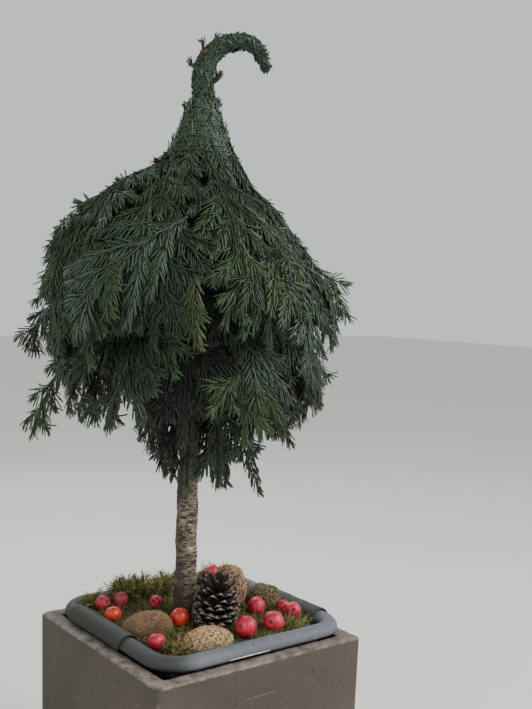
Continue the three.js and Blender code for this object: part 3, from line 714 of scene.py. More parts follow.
moss_base, tree, shader = new_material("moss_pillow", Roughness=0.95)
places = object_places(tree)
tone = wandering(tree, places, 42.0, ("#1d1d10", "#4a4a22"), Softness=0.22)
painted(shader, tone["Colour"])
roughened(tree, shader, places, 300.0, 0.004)
finished(smooth(pillow), "moss_pillow", [moss_base], ["moss_bed"])

# %% [markdown]
# Anything that is repeated thousands of times, such as sprigs, needles and scales, is modelled once and then
# copied into one joined mesh. Each copy gets a frame of its own: an origin and three axes. Arrays do this in
# a moment, where thousands of objects would take minutes.


# %% Copies of a small shape
def shape_of(piece):
    """The points, triangles and material numbers of a small piece, which is then removed."""
    modify(piece, "TRIANGULATE")
    points = np.array([v.co for v in piece.data.vertices])
    corners = np.array([list(face.vertices) for face in piece.data.polygons])
    finishes = np.array([face.material_index for face in piece.data.polygons])
    bpy.data.objects.remove(piece)
    return points, corners, finishes


def mesh_piece(name, points, triangles, finishes=0):
    """An object from arrays of points (in millimetres), triangles and material numbers."""
    mesh = bpy.data.meshes.new(name)
    mesh.vertices.add(len(points))
    mesh.vertices.foreach_set("co", (points * MM).ravel())
    mesh.loops.add(len(triangles) * 3)
    mesh.loops.foreach_set("vertex_index", triangles.ravel())
    mesh.polygons.add(len(triangles))
    mesh.polygons.foreach_set("loop_start", np.arange(len(triangles)) * 3)
    mesh.polygons.foreach_set("material_index", np.full(len(triangles), finishes))
    mesh.update(calc_edges=True)
    piece = bpy.data.objects.new(name, mesh)
    bpy.context.collection.objects.link(piece)
    return piece


PIECE_LIMIT = 190_000  # triangles


def copies(name, materials, shape, origins, axes, stands_for=()):
    """Copies a shape to each origin, along its three scaled axes, in as few pieces as the limit allows.

    Where the axes mirror a copy, its triangles are turned round, so that they still face outwards."""
    points, corners, finishes = shape
    per_piece = PIECE_LIMIT // len(corners)
    starts = range(0, len(origins), per_piece)
    made = []
    for number_made, start in enumerate(starts, 1):
        some = slice(start, start + per_piece)
        placed = origins[some, None, :] + np.einsum("pk,nkd->npd", points, axes[some])
        triangles = corners[None] + np.arange(len(placed))[:, None, None] * len(points)
        mirrored = np.linalg.det(axes[some]) < 0
        triangles[mirrored] = triangles[mirrored][:, :, ::-1]
        label = name if len(starts) == 1 else f"{name}_{number_made}"
        finishes_of_all = np.tile(finishes, len(placed))
        piece = mesh_piece(label, placed.reshape(-1, 3), triangles.reshape(-1, 3), finishes_of_all)
        made.append(finished(piece, label, materials, stands_for if number_made == 1 else ()))
    return made


def unit(vectors):
    """Vectors cut to length one."""
    return vectors / np.maximum(np.linalg.norm(vectors, axis=-1, keepdims=True), 1e-9)


def frames_along(directions, faces, lengths, widths):
    """Axes for copies that point along directions with their top towards faces: length, width, thickness.

    A negative width mirrors its copy."""
    forward = unit(directions)
    across = unit(np.cross(faces, forward))
    top = np.cross(forward, across)
    scaled = [forward * lengths[:, None], across * widths[:, None], top * np.abs(widths)[:, None]]
    return np.stack(scaled, axis=1)


# %% Tubes
ODD_WAY = np.array([0.31, 0.17, 0.94])  # no twig runs quite this way, so it can turn a tube's rings


def tube(path, radii, sides=3):
    """Points and triangles of a thin tube along a line, closed at both ends."""
    tangent = unit(np.gradient(path, axis=0))
    aside = unit(np.cross(tangent, ODD_WAY))
    other = np.cross(tangent, aside)
    turns = np.arange(sides) / sides * 2 * math.pi
    ring = np.cos(turns)[:, None] * aside[:, None] + np.sin(turns)[:, None] * other[:, None]
    points = (path[:, None] + ring * np.asarray(radii)[:, None, None]).reshape(-1, 3)
    rings = np.arange(len(points)).reshape(-1, sides)
    start, ahead = rings[:-1].ravel(), np.roll(rings, -1, axis=1)[:-1].ravel()
    lower = np.column_stack([start, ahead, ahead + sides])
    upper = np.column_stack([start, ahead + sides, start + sides])
    last = rings[-1, 0]
    fan = np.arange(1, sides - 1)
    foot = np.column_stack([0 * fan, fan + 1, fan])
    top = np.column_stack([last + 0 * fan, last + fan, last + fan + 1])
    return points, np.concatenate([lower, upper, foot, top])


def joined_tubes(name, tubes, materials, stands_for=()):
    """One piece from many tubes."""
    shifts = np.cumsum([0] + [len(points) for points, _ in tubes[:-1]])
    triangles = np.concatenate([corners + shift for (_, corners), shift in zip(tubes, shifts)])
    points = np.concatenate([points for points, _ in tubes])
    return finished(smooth(mesh_piece(name, points, triangles)), name, materials, stands_for)


# %% [markdown]
# A sprig of moss is a thin stem with tiny pointed leaves. At this size a three-sided cone is enough for each,
# so nine cones, drawn out flat and set round the stem, are joined and bent. The bed then gets thousands of
# copies, with bare patches where noise is high. Each leans its own way, more outwards near the rim.

# %% One sprig of moss
LEAF = {"count": 8, "radius": 0.026, "length": 0.34, "flat": 1.8, "first": 0.12, "step": 0.1, "turn": 2.4}


def moss_sprig():
    """A sprig one unit long: a thin stem with slim leaves round it, each a three-sided point."""
    leaves = []
    for step in range(LEAF["count"] + 1):
        length, middle = (LEAF["length"], 0.18) if step else (1, 0.5)
        bpy.ops.mesh.primitive_cone_add(vertices=3, radius1=LEAF["radius"], depth=length)
        leaf = bpy.context.object
        with editing(leaf):
            bpy.ops.transform.translate(value=(0, 0, middle))
            bpy.ops.transform.resize(value=(1, LEAF["flat"], 1), center_override=(0, 0, 0))
        if step:
            leaf.location.z = LEAF["first"] + LEAF["step"] * step
            leaf.rotation_euler = (0, math.radians(58 - 3 * step), step * LEAF["turn"])
        leaves.append(set_place(leaf))
    sprig = joined(leaves)
    return shape_points(sprig, lambda p: np.column_stack([p[:, 2], -p[:, 1], p[:, 0] + 0.25 * p[:, 2] ** 2]))


# %% Sprigs all over the bed
chance = np.random.default_rng(7)
SPRIG = {"count": 8500, "tries_in_tufts": 9000, "longest": 11, "slim": 0.75, "in_tuft": 1.6, "sunk": 1.5}
PATCHES = {"size": 26, "bare": 0.16}  # moss grows where the noise is under the bare limit
LEANING = {"spread": (0.85, 0.85, 0.25), "up": (0, 0, 0.75), "outward": 190}


def bed_places(count):
    """Random places on the bed, inside its rounded outline."""
    return on_bed(*chance.uniform(-0.985, 0.985, (2, count)))


sprig_shape = shape_of(moss_sprig())
bed_x, bed_y = bed_places(SPRIG["count"])
tuft_x, tuft_y = bed_places(SPRIG["tries_in_tufts"])
in_tuft = tuft_height(tuft_x, tuft_y) > 0
bed_x, bed_y = np.append(bed_x, tuft_x[in_tuft]), np.append(bed_y, tuft_y[in_tuft])
size = PATCHES["size"]
patchy = np.array([noise.noise(Vector((x / size, y / size, 4))) for x, y in zip(bed_x, bed_y)])
grown = (patchy < PATCHES["bare"]) | (tuft_height(bed_x, bed_y) > 0)
bed_x, bed_y = bed_x[grown], bed_y[grown]
swell = tuft_height(bed_x, bed_y)
sprig_origins = np.column_stack([bed_x, bed_y, moss_height(bed_x, bed_y) + swell - SPRIG["sunk"]])
lean = chance.normal(0, 1, (len(bed_x), 3)) * LEANING["spread"] + LEANING["up"]
lean += np.column_stack([bed_x, bed_y, 0 * bed_x]) / LEANING["outward"]
lean[:, 2] = np.abs(lean[:, 2])
longer = 1 + SPRIG["in_tuft"] * np.clip(swell / 10, 0, 1)
sprig_lengths = SPRIG["longest"] * chance.uniform(0.5, 1.1, len(bed_x)) * longer
spins = chance.normal(0, 1, (len(bed_x), 3))
sprig_axes = frames_along(lean, spins, sprig_lengths, sprig_lengths * SPRIG["slim"])


def plain_finish(name, code, **values):
    """A material of one plain colour, for pieces whose colours are dealt out copy by copy."""
    material, _, shader = new_material(name, **values)
    shader.inputs["Base Color"].default_value = colour(code)
    return material


MOSS_TINTS = {"yellow": "#84853f", "green": "#4f5c2a", "olive": "#3d3f1b", "straw": "#a8985f"}
MOSS_SHARES = [0.32, 0.24, 0.22, 0.22]
dealt = chance.choice(len(MOSS_TINTS), len(bed_x), p=MOSS_SHARES)
for kind, (tint, code) in enumerate(MOSS_TINTS.items()):
    chosen = dealt == kind
    finish = plain_finish(f"moss_{tint}", code, Roughness=0.8)
    copies(f"moss_sprigs_{tint}", [finish], sprig_shape, sprig_origins[chosen], sprig_axes[chosen])

# %% [markdown]
# ## Trunk
#
# A young birch stem: cream bark, broken by short dark bars that lie across it, darker and rougher at its
# foot. It leans a little and bows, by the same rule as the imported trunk. A cylinder is cut into many rings,
# each ring is moved to the stem's middle line and radius, and the bark's plates are raised by noise that is
# stretched round the stem.

# %% The stem's middle line
HOOK_TURN = -LOOK_TURN  # the tip hooks over to the camera's right
HOOK_SIDE = np.array([math.cos(HOOK_TURN), math.sin(HOOK_TURN), 0])
HOOK_ACROSS = np.array([-math.sin(HOOK_TURN), math.cos(HOOK_TURN), 0])
UPWARD = np.array([0, 0, 1])
SOIL_TOP = 338
TRUNK = {"top": 1062, "radius": 16.8, "top_radius": 12, "flare": 6, "flare_height": 34}
TRUNK.update(foot=-15, lean=5, bow=6)  # how far its middle lies towards the hook


def trunk_axis(height):
    """The middle of the trunk at each height."""
    height = np.asarray(height, float)
    share = np.clip((height - SOIL_TOP) / (TRUNK["top"] - SOIL_TOP), 0, 1)
    lateral = TRUNK["foot"] + TRUNK["lean"] * share - TRUNK["bow"] * np.sin(np.pi * share**0.6)
    return lateral[..., None] * HOOK_SIDE + height[..., None] * UPWARD


def trunk_radius(height):
    """The trunk's radius at each height, with the flare at its foot."""
    share = (height - SOIL_TOP) / (TRUNK["top"] - SOIL_TOP)
    flare = TRUNK["flare"] * np.minimum(1, np.exp((MOSS["edge"] - height) / TRUNK["flare_height"]))
    return TRUNK["radius"] + (TRUNK["top_radius"] - TRUNK["radius"]) * share + flare


# %% Stem with its bark
STEM_MESH = {"sides": 64, "rings": 99, "finer": 3}
BARK = {"girth": 0.985, "plates": 0.9, "bars": 1.6, "grain": 0.35, "rougher_at_foot": 1.6, "foot_height": 30}
BARK_SIZES = {"round": 2.2, "plates": 16, "bars": 3.2, "grain": 2.1}  # a turn's noise, then heights in mm


def bark_at(turn, level):
    """How far the bark is raised at a turn round the stem and a height."""
    ring = Vector((math.cos(turn), math.sin(turn), 0)) * BARK_SIZES["round"]
    plates = noise.fractal(ring + UP * (level / BARK_SIZES["plates"]), 0.8, 2.1, 4)
    bars = noise.noise(ring * 1.4 + UP * (level / BARK_SIZES["bars"] + 9))
    grain = noise.noise(ring * 7 + UP * (level / BARK_SIZES["grain"]))
    foot = 1 + BARK["rougher_at_foot"] * math.exp((MOSS["edge"] - level) / BARK["foot_height"])
    return BARK["plates"] * foot * plates + BARK["bars"] * min(0.0, bars + 0.12) + BARK["grain"] * grain


def bark_shape(places):
    """Moves a plain cylinder's points to the stem, and raises the bark's plates and bars."""
    angle = np.arctan2(places[:, 1], places[:, 0])
    foot = SOIL_TOP + 0.35
    height = foot + (places[:, 2] + 0.5) * (TRUNK["top"] - foot)
    knobs = 1 + 0.04 * np.sin(height / 11 + 3 * angle) + 0.03 * np.sin(height / 27 - 2 * angle)
    bark = np.array([bark_at(turn, level) for turn, level in zip(angle, height)])
    out = np.hypot(places[:, 0], places[:, 1]) * (trunk_radius(height) * knobs * BARK["girth"] + bark)
    middle = trunk_axis(height)
    x, y = middle[:, 0] + out * np.cos(angle), middle[:, 1] + out * np.sin(angle)
    return np.column_stack([x, y, height]) * MM


bpy.ops.mesh.primitive_cylinder_add(vertices=STEM_MESH["sides"], radius=1, depth=1)
stem = bpy.context.object
with editing(stem):
    for cuts, shortest in ((STEM_MESH["rings"], 0.5), (STEM_MESH["finer"], 0.005)):
        pick(stem, "EDGE", lambda edge: abs(edge.verts[0].co.z - edge.verts[1].co.z) > shortest)
        bpy.ops.mesh.subdivide(number_cuts=cuts)
shape_points(stem, bark_shape)

# %% [markdown]
# The bark's colour runs round the stem, so its patterns are squeezed in height by a Mapping node. Cream is
# mottled with brown, then come the dark bars and pale flakes. One dark tone is laid over all of it in
# patches and over the foot, and as painted shade under the boughs and on the side away from the hook.

# %% Birch bark
# The second and third ranges are painted shade: under the boughs, and on the side away from the hook.
FOOT_SHADE, TOP_SHADE, AWAY_SIDE_SHADE = (0.37, 0.46), (0.5, 0.72), (-0.031, -0.016)  # from and to, in metres
birch, tree, shader = new_material("birch_bark", Roughness=0.85)
places, round_places = object_places(tree), object_places(tree, (1, 1, 3.4))
cream = wandering(tree, round_places, 34.0, ("#5a4f41", "#ab9f89"), Softness=0.16, Balance=0.49)
bars = wandering(tree, round_places, 95.0, Detail=3.0, Softness=0.05, Balance=0.56)["Mask"]
barred = mix(tree, bars, cream["Colour"], colour("#2a2019"))
flakes = wandering(tree, round_places, 150.0, Detail=4.0, Softness=0.05, Balance=0.63)["Mask"]
flaked = mix(tree, share_of(tree, flakes, 0.8), barred, colour("#d9d0bd"))

patches = wandering(tree, object_places(tree, (1, 1, 0.6)), 22.0, Softness=0.12)["Mask"]
level = add_node(tree, "SeparateXYZ", {0: places}).outputs[2]
foot_shade = between(tree, level, *FOOT_SHADE, 1.2, 0)
# Painted shade: darker under the boughs and on the side away from the hook, added to the darker foot.
ends = number(tree, "MAXIMUM", foot_shade, between(tree, level, *TOP_SHADE))
off_middle = add_node(tree, "VectorMath", {0: places, 1: HOOK_SIDE}, operation="DOT_PRODUCT").outputs["Value"]
ends = number(tree, "ADD", ends, between(tree, off_middle, *AWAY_SIDE_SHADE, 0.9, 0))
mottle_and_painted_shade = number(tree, "MULTIPLY", number(tree, "ADD", patches, ends), 0.48, clamp=True)
shaded = mix(tree, mottle_and_painted_shade, flaked, colour("#3b3026"))
painted(shader, shaded)
roughened(tree, shader, round_places, 210.0, 0.0011, share_of(tree, bars, -0.8))
finished(smooth(stem, 60), "birch_stem", [birch], ["birch_trunk"])

# %% [markdown]
# ## How a bough grows
#
# Each bough follows an arch that leaves the trunk nearly level and ends nearly upright. Its twigs leave the
# stem in pairs and fill the bough's own sector, as long as they fit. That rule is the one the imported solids
# follow, with the same seeds, so each bough here lies where its solid does. Places on a bough are given on
# its curved sheet: a distance along, a distance across, and a height off the sheet.

# %% Seeded numbers
WORD = 0xFFFFFFFF


def seeded(seed):
    """Repeatable random numbers from 0 to 1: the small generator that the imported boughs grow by."""
    state = seed & WORD

    def draw():
        nonlocal state
        state = (state + 0x6D2B79F5) & WORD
        mixed = ((state ^ (state >> 15)) * (state | 1)) & WORD
        mixed ^= (mixed + (mixed ^ (mixed >> 7)) * (mixed | 61)) & WORD
        return ((mixed ^ (mixed >> 14)) & WORD) / (WORD + 1)

    return draw


# %% [markdown]
# Each tier has a number of boughs, tied at one height. Reach and drop say where they end, and side how much
# further they reach away from the hook. Round and swell shape the arch, and turn moves the first bough on.

# %% Tiers of boughs
TIERS = [
    dict(name="top_bough", count=9, tie=1038, reach=224, drop=250, side=20, round=1.72, swell=0.28, turn=0),
    dict(name="middle_bough", count=8, tie=962, reach=222, drop=306, side=32, round=1.5, swell=0.1, turn=0.5),
    dict(name="inner_bough", count=7, tie=858, reach=98, drop=284, side=-14, round=1.5, swell=0, turn=0.25),
]
BOUGH = {"radius": 3.6, "tip_radius": 1.5, "sector_gap": 1.6, "droop": 0.0016, "uneven": 0.06}
TWIG = {"first": 48, "spacing": 47, "angle": 44, "longest": 118, "shortest": 12, "taper": 0.62, "rise": 0.2}


def bough_arch(tier, index, seed):
    """A bough's arch: how far out and how far below its tie it runs, and the way that it points."""
    draw = seeded(seed)
    sector = 2 * math.pi / tier["count"]
    turn = (index + tier["turn"]) * sector
    reach = (tier["reach"] + tier["side"] * math.cos(turn)) * (1 - BOUGH["uneven"] * draw())
    drop = tier["drop"] * (1 - BOUGH["uneven"] * draw())
    power = 2 / (tier["round"] + tier["swell"] * math.cos(turn))
    start = float(trunk_radius(tier["tie"])) * 0.8
    angle = np.linspace(0, math.pi / 2, 41)
    r = start + (reach - start) * np.sin(angle) ** power
    z = -drop * (1 - np.clip(np.cos(angle), 0, 1) ** power)
    travelled = np.concatenate([[0], np.cumsum(np.hypot(np.diff(r), np.diff(z)))])
    arch = {"r": r, "z": z, "travelled": travelled, "length": travelled[-1], "sector": sector, "draw": draw}
    return {**arch, "azimuth": HOOK_TURN + math.pi + turn, "tie": tier["tie"]}


def arch_at(arch, along):
    """Radius and height at distances along an arch, drawn on straight past its end."""
    past = np.maximum(0, along - arch["length"])
    end_step = np.array([arch["r"][-1] - arch["r"][-2], arch["z"][-1] - arch["z"][-2]])
    end_step /= np.hypot(*end_step)
    r = np.interp(along, arch["travelled"], arch["r"]) + past * end_step[0]
    z = np.interp(along, arch["travelled"], arch["z"]) + past * end_step[1]
    return r, z


def on_sheet(arch, along, across, lift):
    """Places on a bough's curved sheet, in millimetres in the plant's own frame."""
    along, across, lift = (np.asarray(value, float) for value in (along, across, lift))
    r, z = arch_at(arch, along)
    r_ahead, z_ahead = arch_at(arch, along + 1)
    run = np.hypot(r_ahead - r, z_ahead - z)
    out = r - lift * (z_ahead - z) / run
    level = z + lift * (r_ahead - r) / run - BOUGH["droop"] * across**2
    cos, sin = math.cos(arch["azimuth"]), math.sin(arch["azimuth"])
    foot = trunk_axis(arch["tie"])
    x, y = foot[0] + out * cos - across * sin, foot[1] + out * sin + across * cos
    return np.stack([x, y, foot[2] + level], -1)


def half_space(arch, along):
    """Half the width that a bough may fill at a distance along it."""
    half_sector = arch["sector"] / 2
    return arch_at(arch, along)[0] * math.tan(half_sector) - BOUGH["sector_gap"] / math.cos(half_sector)


def on_twig(twig, x, y):
    """Along and across of a point on a twig: x along it and y across it."""
    cos, sin = math.cos(twig["angle"]), math.sin(twig["angle"])
    return twig["root"] + x * cos + y * sin, twig["side"] * (x * sin - y * cos)


def keeps_to_space(arch, twig):
    """Whether a twig with its needles keeps to the bough's own sector."""
    half_width = TWIG["spacing"] / 2 * math.sin(twig["angle"])
    edge = [(0.6, 0.92), (0.54, 0.42)]
    if twig["length"] > 56:
        edge += [(0.85, 0.66), (0.79, 0.2)]
    for share, out in [*edge, (1, 0)]:
        for side in (1, -1):
            along, across = on_twig(twig, share * twig["length"], side * out * half_width)
            if abs(across) >= half_space(arch, along):
                return False
    return True


def twigs_of(arch):
    """A bough's twigs, in pairs along it, each as long as the bough's own space allows."""
    draw = arch["draw"]
    angle = math.radians(TWIG["angle"] + 6 * (draw() - 0.5))
    roots = np.arange(TWIG["first"], arch["length"] - 20, TWIG["spacing"])
    twigs = []
    for side in (1, -1):
        for root in roots:
            rise = TWIG["rise"] * (draw() - 0.25)
            longest = min(TWIG["longest"], (arch["length"] - root) * TWIG["taper"] + 30)
            twig = {"root": root, "side": side, "angle": angle, "rise": rise}
            twig["length"] = longest * (1 - 0.12 * draw())
            while twig["length"] > TWIG["shortest"] and not keeps_to_space(arch, twig):
                twig["length"] -= 2
            twigs.append(twig)
    return twigs


# %% [markdown]
# ## Shoots
#
# A shoot is a short curved line with a top side. Its wood is a thin tapering tube. Its needles stand in two
# ranks that spread to both sides, flat like a comb, and a thinner rank on top leans forward over the wood.
# They spread wide at the foot of a shoot and close up towards its bud, and each bends towards the bud. Cut
# boughs wilt, so needles and twigs hang. All shoots are stored first, and then dressed together.

# %% Boughs with their sprays
NEEDLE = {"length": 30, "width": 2.8, "spacing": 3.9, "wilt": 0.52}
# The shade tint is painted shade: a near-black green for needles inside and under the skirt.
TINTS = ("deep", "grey", "fresh", "olive", "shade")
# The grey tint is partly the needles' own paler tone and partly painted sheen.
TINT_SHARES = (0.47, 0.23, 0.29, 0.01, 0)
INNER_SHARES = (0.62, 0.2, 0.08, 0, 0.1)
SHADE_SHARES = (0.3, 0.04, 0.06, 0, 0.6)
SPRAY = {"shortest": 50, "sag": (0.05, 0.22), "side_longest": 92, "side_share": (0.5, 0.76), "turn": (36, 48)}
SHORT_SHOOT = {"first": 50, "every": 48, "length": (30, 62), "turn": (15, 50), "down": (0.35, 1.0)}
THINS_OUT = {"heights": (610, 730), "grown": (0.2, 0.86)}  # the share of the sprays that grows at two heights
shoots = []


def some_tint(draw, shares=TINT_SHARES):
    """The number of a tint, dealt out by its share."""
    return draw.choice(len(TINTS), p=shares)


def add_shoot(path, face, radius, tint, bare=0.0, needle=1.0, density=1.0, spread=1.0):
    """Stores a shoot: its line, its top side, its radii at both ends and the tint of its needles."""
    shoot = {"path": path, "face": face, "radius": radius, "tint": tint}
    shoots.append({**shoot, "bare": bare, "needle": needle, "density": density, "spread": spread})


def sheet_shoot(arch, root, length, angle, rise=0.0, sag=0.0, before=0.0, steps=7, **looks):
    """A shoot on a bough's sheet, from root (along, across, lift), turned by angle from the bough's way.

    It sags more the further it runs, counting the run before it of the spray that it grows on."""
    run = np.linspace(0, length, steps)
    along, across, lift = root
    places = (along + run * math.cos(angle), across + run * math.sin(angle), lift + run * rise)
    path = on_sheet(arch, *places)
    face = unit(on_sheet(arch, places[0], places[1], places[2] + 1) - path)
    path[:, 2] -= sag * (before + run) ** 2 / 100
    add_shoot(path, face, **looks)


def spray(arch, root, length, angle, draw, rise=0.0, spacing=42, radius=1.5, **looks):
    """A shoot with side shoots in pairs, which get shorter towards its tip."""
    sag = draw.uniform(*SPRAY["sag"])
    sheet_shoot(arch, root, length, angle, rise, sag, radius=(radius, 0.8), **looks)
    if length < SPRAY["shortest"]:
        return
    for run in np.arange(spacing * 0.6, length - 26, spacing):
        for side in (1, -1):
            along, across = root[0] + run * math.cos(angle), root[1] + run * math.sin(angle)
            reach = min(SPRAY["side_longest"], (length - run) * draw.uniform(*SPRAY["side_share"]))
            turn = angle + side * math.radians(draw.uniform(*SPRAY["turn"]))
            start = (along, across, root[2] + run * rise)
            sheet_shoot(arch, start, reach, turn, rise, sag, run, 5, radius=(1.1, 0.7), **looks)


def grows_at(arch, along, draw):
    """Whether a spray grows at a distance along a bough: the skirt thins out towards its hem."""
    height = on_sheet(arch, along, 0, 0)[2]
    return draw.random() < np.interp(height, THINS_OUT["heights"], THINS_OUT["grown"])


def grow_bough(arch, draw, density=1.0, shares=TINT_SHARES):
    """Grows a bough: its stem, its sprays, and short shoots between them that hang inside the skirt."""
    own_tint = some_tint(draw, shares)
    length = arch["length"]
    stem = {"radius": (BOUGH["radius"], BOUGH["tip_radius"]), "tint": own_tint, "bare": 14.0}
    sheet_shoot(arch, (0, 0, 2), length + 8, 0, steps=26, density=1.3 * density, **stem)
    for twig in twigs_of(arch):
        if not grows_at(arch, twig["root"], draw):
            continue
        tint = own_tint if draw.random() < 0.5 else some_tint(draw, shares)
        wood = max(8.0, twig["length"] * 0.96 - 8)
        angle = twig["side"] * (twig["angle"] + math.radians(draw.normal(0, 6)))
        rise = twig["rise"] + draw.normal(0, 0.08)
        spray(arch, (twig["root"], 0, 2), wood, angle, draw, rise, tint=tint, density=density)
    for along in np.arange(SHORT_SHOOT["first"], length, SHORT_SHOOT["every"]):
        turn = draw.choice((-1, 1)) * math.radians(draw.uniform(*SHORT_SHOOT["turn"]))
        # Painted shade: these short shoots inside the skirt mostly get the shade tint.
        looks = {"tint": some_tint(draw, SHADE_SHARES), "density": density, "radius": (1.3, 0.7)}
        if grows_at(arch, along, draw):
            run, down = draw.uniform(*SHORT_SHOOT["length"]), draw.uniform(*SHORT_SHOOT["down"])
            sheet_shoot(arch, (along, 0, 0), run, turn, -down, 0.15, **looks)


bough_names = []
for tier_number, tier in enumerate(TIERS, 1):
    for index in range(tier["count"]):
        seed = 1000 * tier_number + index
        shares = INNER_SHARES if tier["name"] == "inner_bough" else TINT_SHARES
        grow_bough(bough_arch(tier, index, seed), np.random.default_rng(seed), shares=shares)
        bough_names.append(f"{tier['name']}_{index + 1}")
print(len(bough_names), "boughs,", len(shoots), "shoots")

# %% [markdown]
# Between and under those boughs hang others that don't show as forms of their own. They close the skirt, as
# the many boughs of the real one do. They grow by the same rule, turned by half a sector, a little shorter,
# and most of their needles get the near-black shade tint, a painted shade for the hollows of the skirt.

# %% Boughs underneath
UNDER = {"reach": 0.86, "drop": 0.94, "tie": 14, "turn": 0.5, "density": 0.72}
for tier_number, tier in enumerate(TIERS, 1):
    lower = {**tier, "reach": tier["reach"] * UNDER["reach"], "drop": tier["drop"] * UNDER["drop"]}
    lower.update(tie=tier["tie"] - UNDER["tie"], turn=tier["turn"] + UNDER["turn"])
    for index in range(tier["count"]):
        seed = 1000 * tier_number + 500 + index
        draw = np.random.default_rng(seed)
        grow_bough(bough_arch(lower, index, seed), draw, UNDER["density"], SHADE_SHARES)
print(len(shoots), "shoots with the boughs underneath")

# %% [markdown]
# Over them lie loose sprays that cross the others, as nobody ties boughs quite straight. The first ones are
# those that stand out in the photo, then come some all round, and the last ones close the crown at the back.
# Turn 0 is the side away from the hook, and turn 90 faces the camera.

# %% Loose sprays
LOOSE = [  # turn, root (along, across, lift), length, angle, rise, tint
    (88, (184, 0, 1), 194, -52, 0.12, 1),
    (134, (150, 4, 3), 128, 24, 0.09, 0),
    (140, (226, -6, 4), 148, -4, 0.09, 1),
    (62, (84, 6, 3), 92, 20, 0.09, 2),
    (34, (70, -4, 3), 190, -14, 0.09, 2),
    (18, (120, 0, 3), 186, 8, 0.09, 2),
    (50, (150, -4, 3), 168, -26, 0.09, 2),
    (98, (70, 10, 3), 130, 10, 0.09, 0),
]
ALL_ROUND = {"count": 22, "turn": 137.5, "rise": 0.09}
DEALT_OUT = {"along": (60, 220), "across": (-20, 20), "length": (100, 170), "angle": (-50, 50)}
BACK_TURNS = (6, 170, 196, 208, 222, 248, 274, 300, 326, 346)
draw = np.random.default_rng(21)
for order in range(ALL_ROUND["count"]):
    along, across, length, angle = (draw.uniform(*limits) for limits in DEALT_OUT.values())
    LOOSE.append((order * ALL_ROUND["turn"], (along, across, 3), length, angle, ALL_ROUND["rise"], None))
LOOSE += [(turn, (56, 0, 3), 168, 9, 0.03, None) for turn in BACK_TURNS]
for order, (turn, root, length, angle, rise, tint) in enumerate(LOOSE):
    turned_tier = {**TIERS[0], "turn": math.radians(turn) / (2 * math.pi / TIERS[0]["count"])}
    arch = bough_arch(turned_tier, 0, 4000 + order)
    dealt = some_tint(draw)
    tint = dealt if tint is None else tint
    spray(arch, root, length, math.radians(angle), draw, rise, 40, 2.2, tint=tint)
print(len(shoots), "shoots with the loose sprays")

# %% [markdown]
# ## The bundle at the top
#
# The peak and the hook are a bundle of twigs. Places on it are given by a distance along its middle line, a
# turn round it (0 is the hook's side, -90 faces the camera) and a share of its radius.

# %% The bundle's middle line
PEAK = {"bottom": 1046, "top": 1128, "bottom_radius": 57, "top_radius": 22, "offset": -3}
HOOK = {"radius": 17, "end_radius": 7}
HOOK_RISE = [(-10, 1131), (-14, 1152), (-13, 1175), (-4, 1196)]  # across and height of its middle line
HOOK_ARCH = [(14, 1210), (37, 1217), (57, 1214), (70, 1200), (78, 1177)]


def flowing_line(points, steps=8):
    """A smooth line through points (a Catmull-Rom curve)."""
    ends = np.vstack([2 * points[0] - points[1], points, 2 * points[-1] - points[-2]])
    t = np.arange(steps)[:, None] / steps
    parts = []
    for p0, p1, p2, p3 in zip(ends, ends[1:], ends[2:], ends[3:]):
        bend = 2 * p0 - 5 * p1 + 4 * p2 - p3
        parts.append(0.5 * (2 * p1 + (p2 - p0) * t + bend * t**2 + (3 * p1 - p0 - 3 * p2 + p3) * t**3))
    return np.vstack([*parts, points[-1:]])


def bundle(middle, radius):
    """A bundle: its middle line, the radius along it and the distance travelled."""
    tangent = unit(np.gradient(middle, axis=0))
    travelled = np.concatenate([[0], np.cumsum(np.linalg.norm(np.diff(middle, axis=0), axis=1))])
    slope = np.gradient(radius, travelled)
    return {"middle": middle, "radius": radius, "tangent": tangent, "travelled": travelled, "slope": slope}


def on_bundle(bound, along, turn, share=1.0):
    """Places on a bundle at share of its radius, with the ways out of it, along it and round it."""
    along, turn = np.broadcast_arrays(np.asarray(along, float), np.asarray(turn, float))

    def there(values):
        return np.stack([np.interp(along, bound["travelled"], column) for column in values.T], -1)

    middle, tangent = there(bound["middle"]), unit(there(bound["tangent"]))
    radius = np.interp(along, bound["travelled"], bound["radius"])
    slope = np.interp(along, bound["travelled"], bound["slope"])
    ring = np.cos(turn)[..., None] * np.cross(HOOK_ACROSS, tangent) + np.sin(turn)[..., None] * HOOK_ACROSS
    out = unit(ring - tangent * slope[..., None])
    onward = unit(tangent + ring * slope[..., None])
    return middle + ring * (radius * share)[..., None], out, onward, np.cross(out, onward)


peak_height = np.linspace(PEAK["bottom"], PEAK["top"], 24)
peak_share = (peak_height - PEAK["bottom"]) / (PEAK["top"] - PEAK["bottom"])
peak_radius = PEAK["bottom_radius"] + (PEAK["top_radius"] - PEAK["bottom_radius"]) * peak_share**0.75
peak_foot = trunk_axis(TRUNK["top"]) + HOOK_SIDE * PEAK["offset"]
peak_middle = peak_foot * [1, 1, 0] + peak_height[:, None] * UPWARD
peak = bundle(peak_middle, peak_radius)

hook_places = flowing_line(np.array(HOOK_RISE + HOOK_ARCH))
hook_share = np.linspace(0, 1, len(hook_places))
hook_radius = HOOK["radius"] + (HOOK["end_radius"] - HOOK["radius"]) * hook_share**1.6
hook = bundle(hook_places[:, :1] * HOOK_SIDE + hook_places[:, 1:] * UPWARD, hook_radius)
print("peak and hook run", round(peak["travelled"][-1]), "and", round(hook["travelled"][-1]), "mm")

# %% [markdown]
# A collar of sprays comes out from under the peak's wire and covers the place where the boughs are tied. It
# carries the peak's slope on into the skirt: steep on the hook's side, flatter on the other. A few short
# shoots have slipped out of the binding higher up.

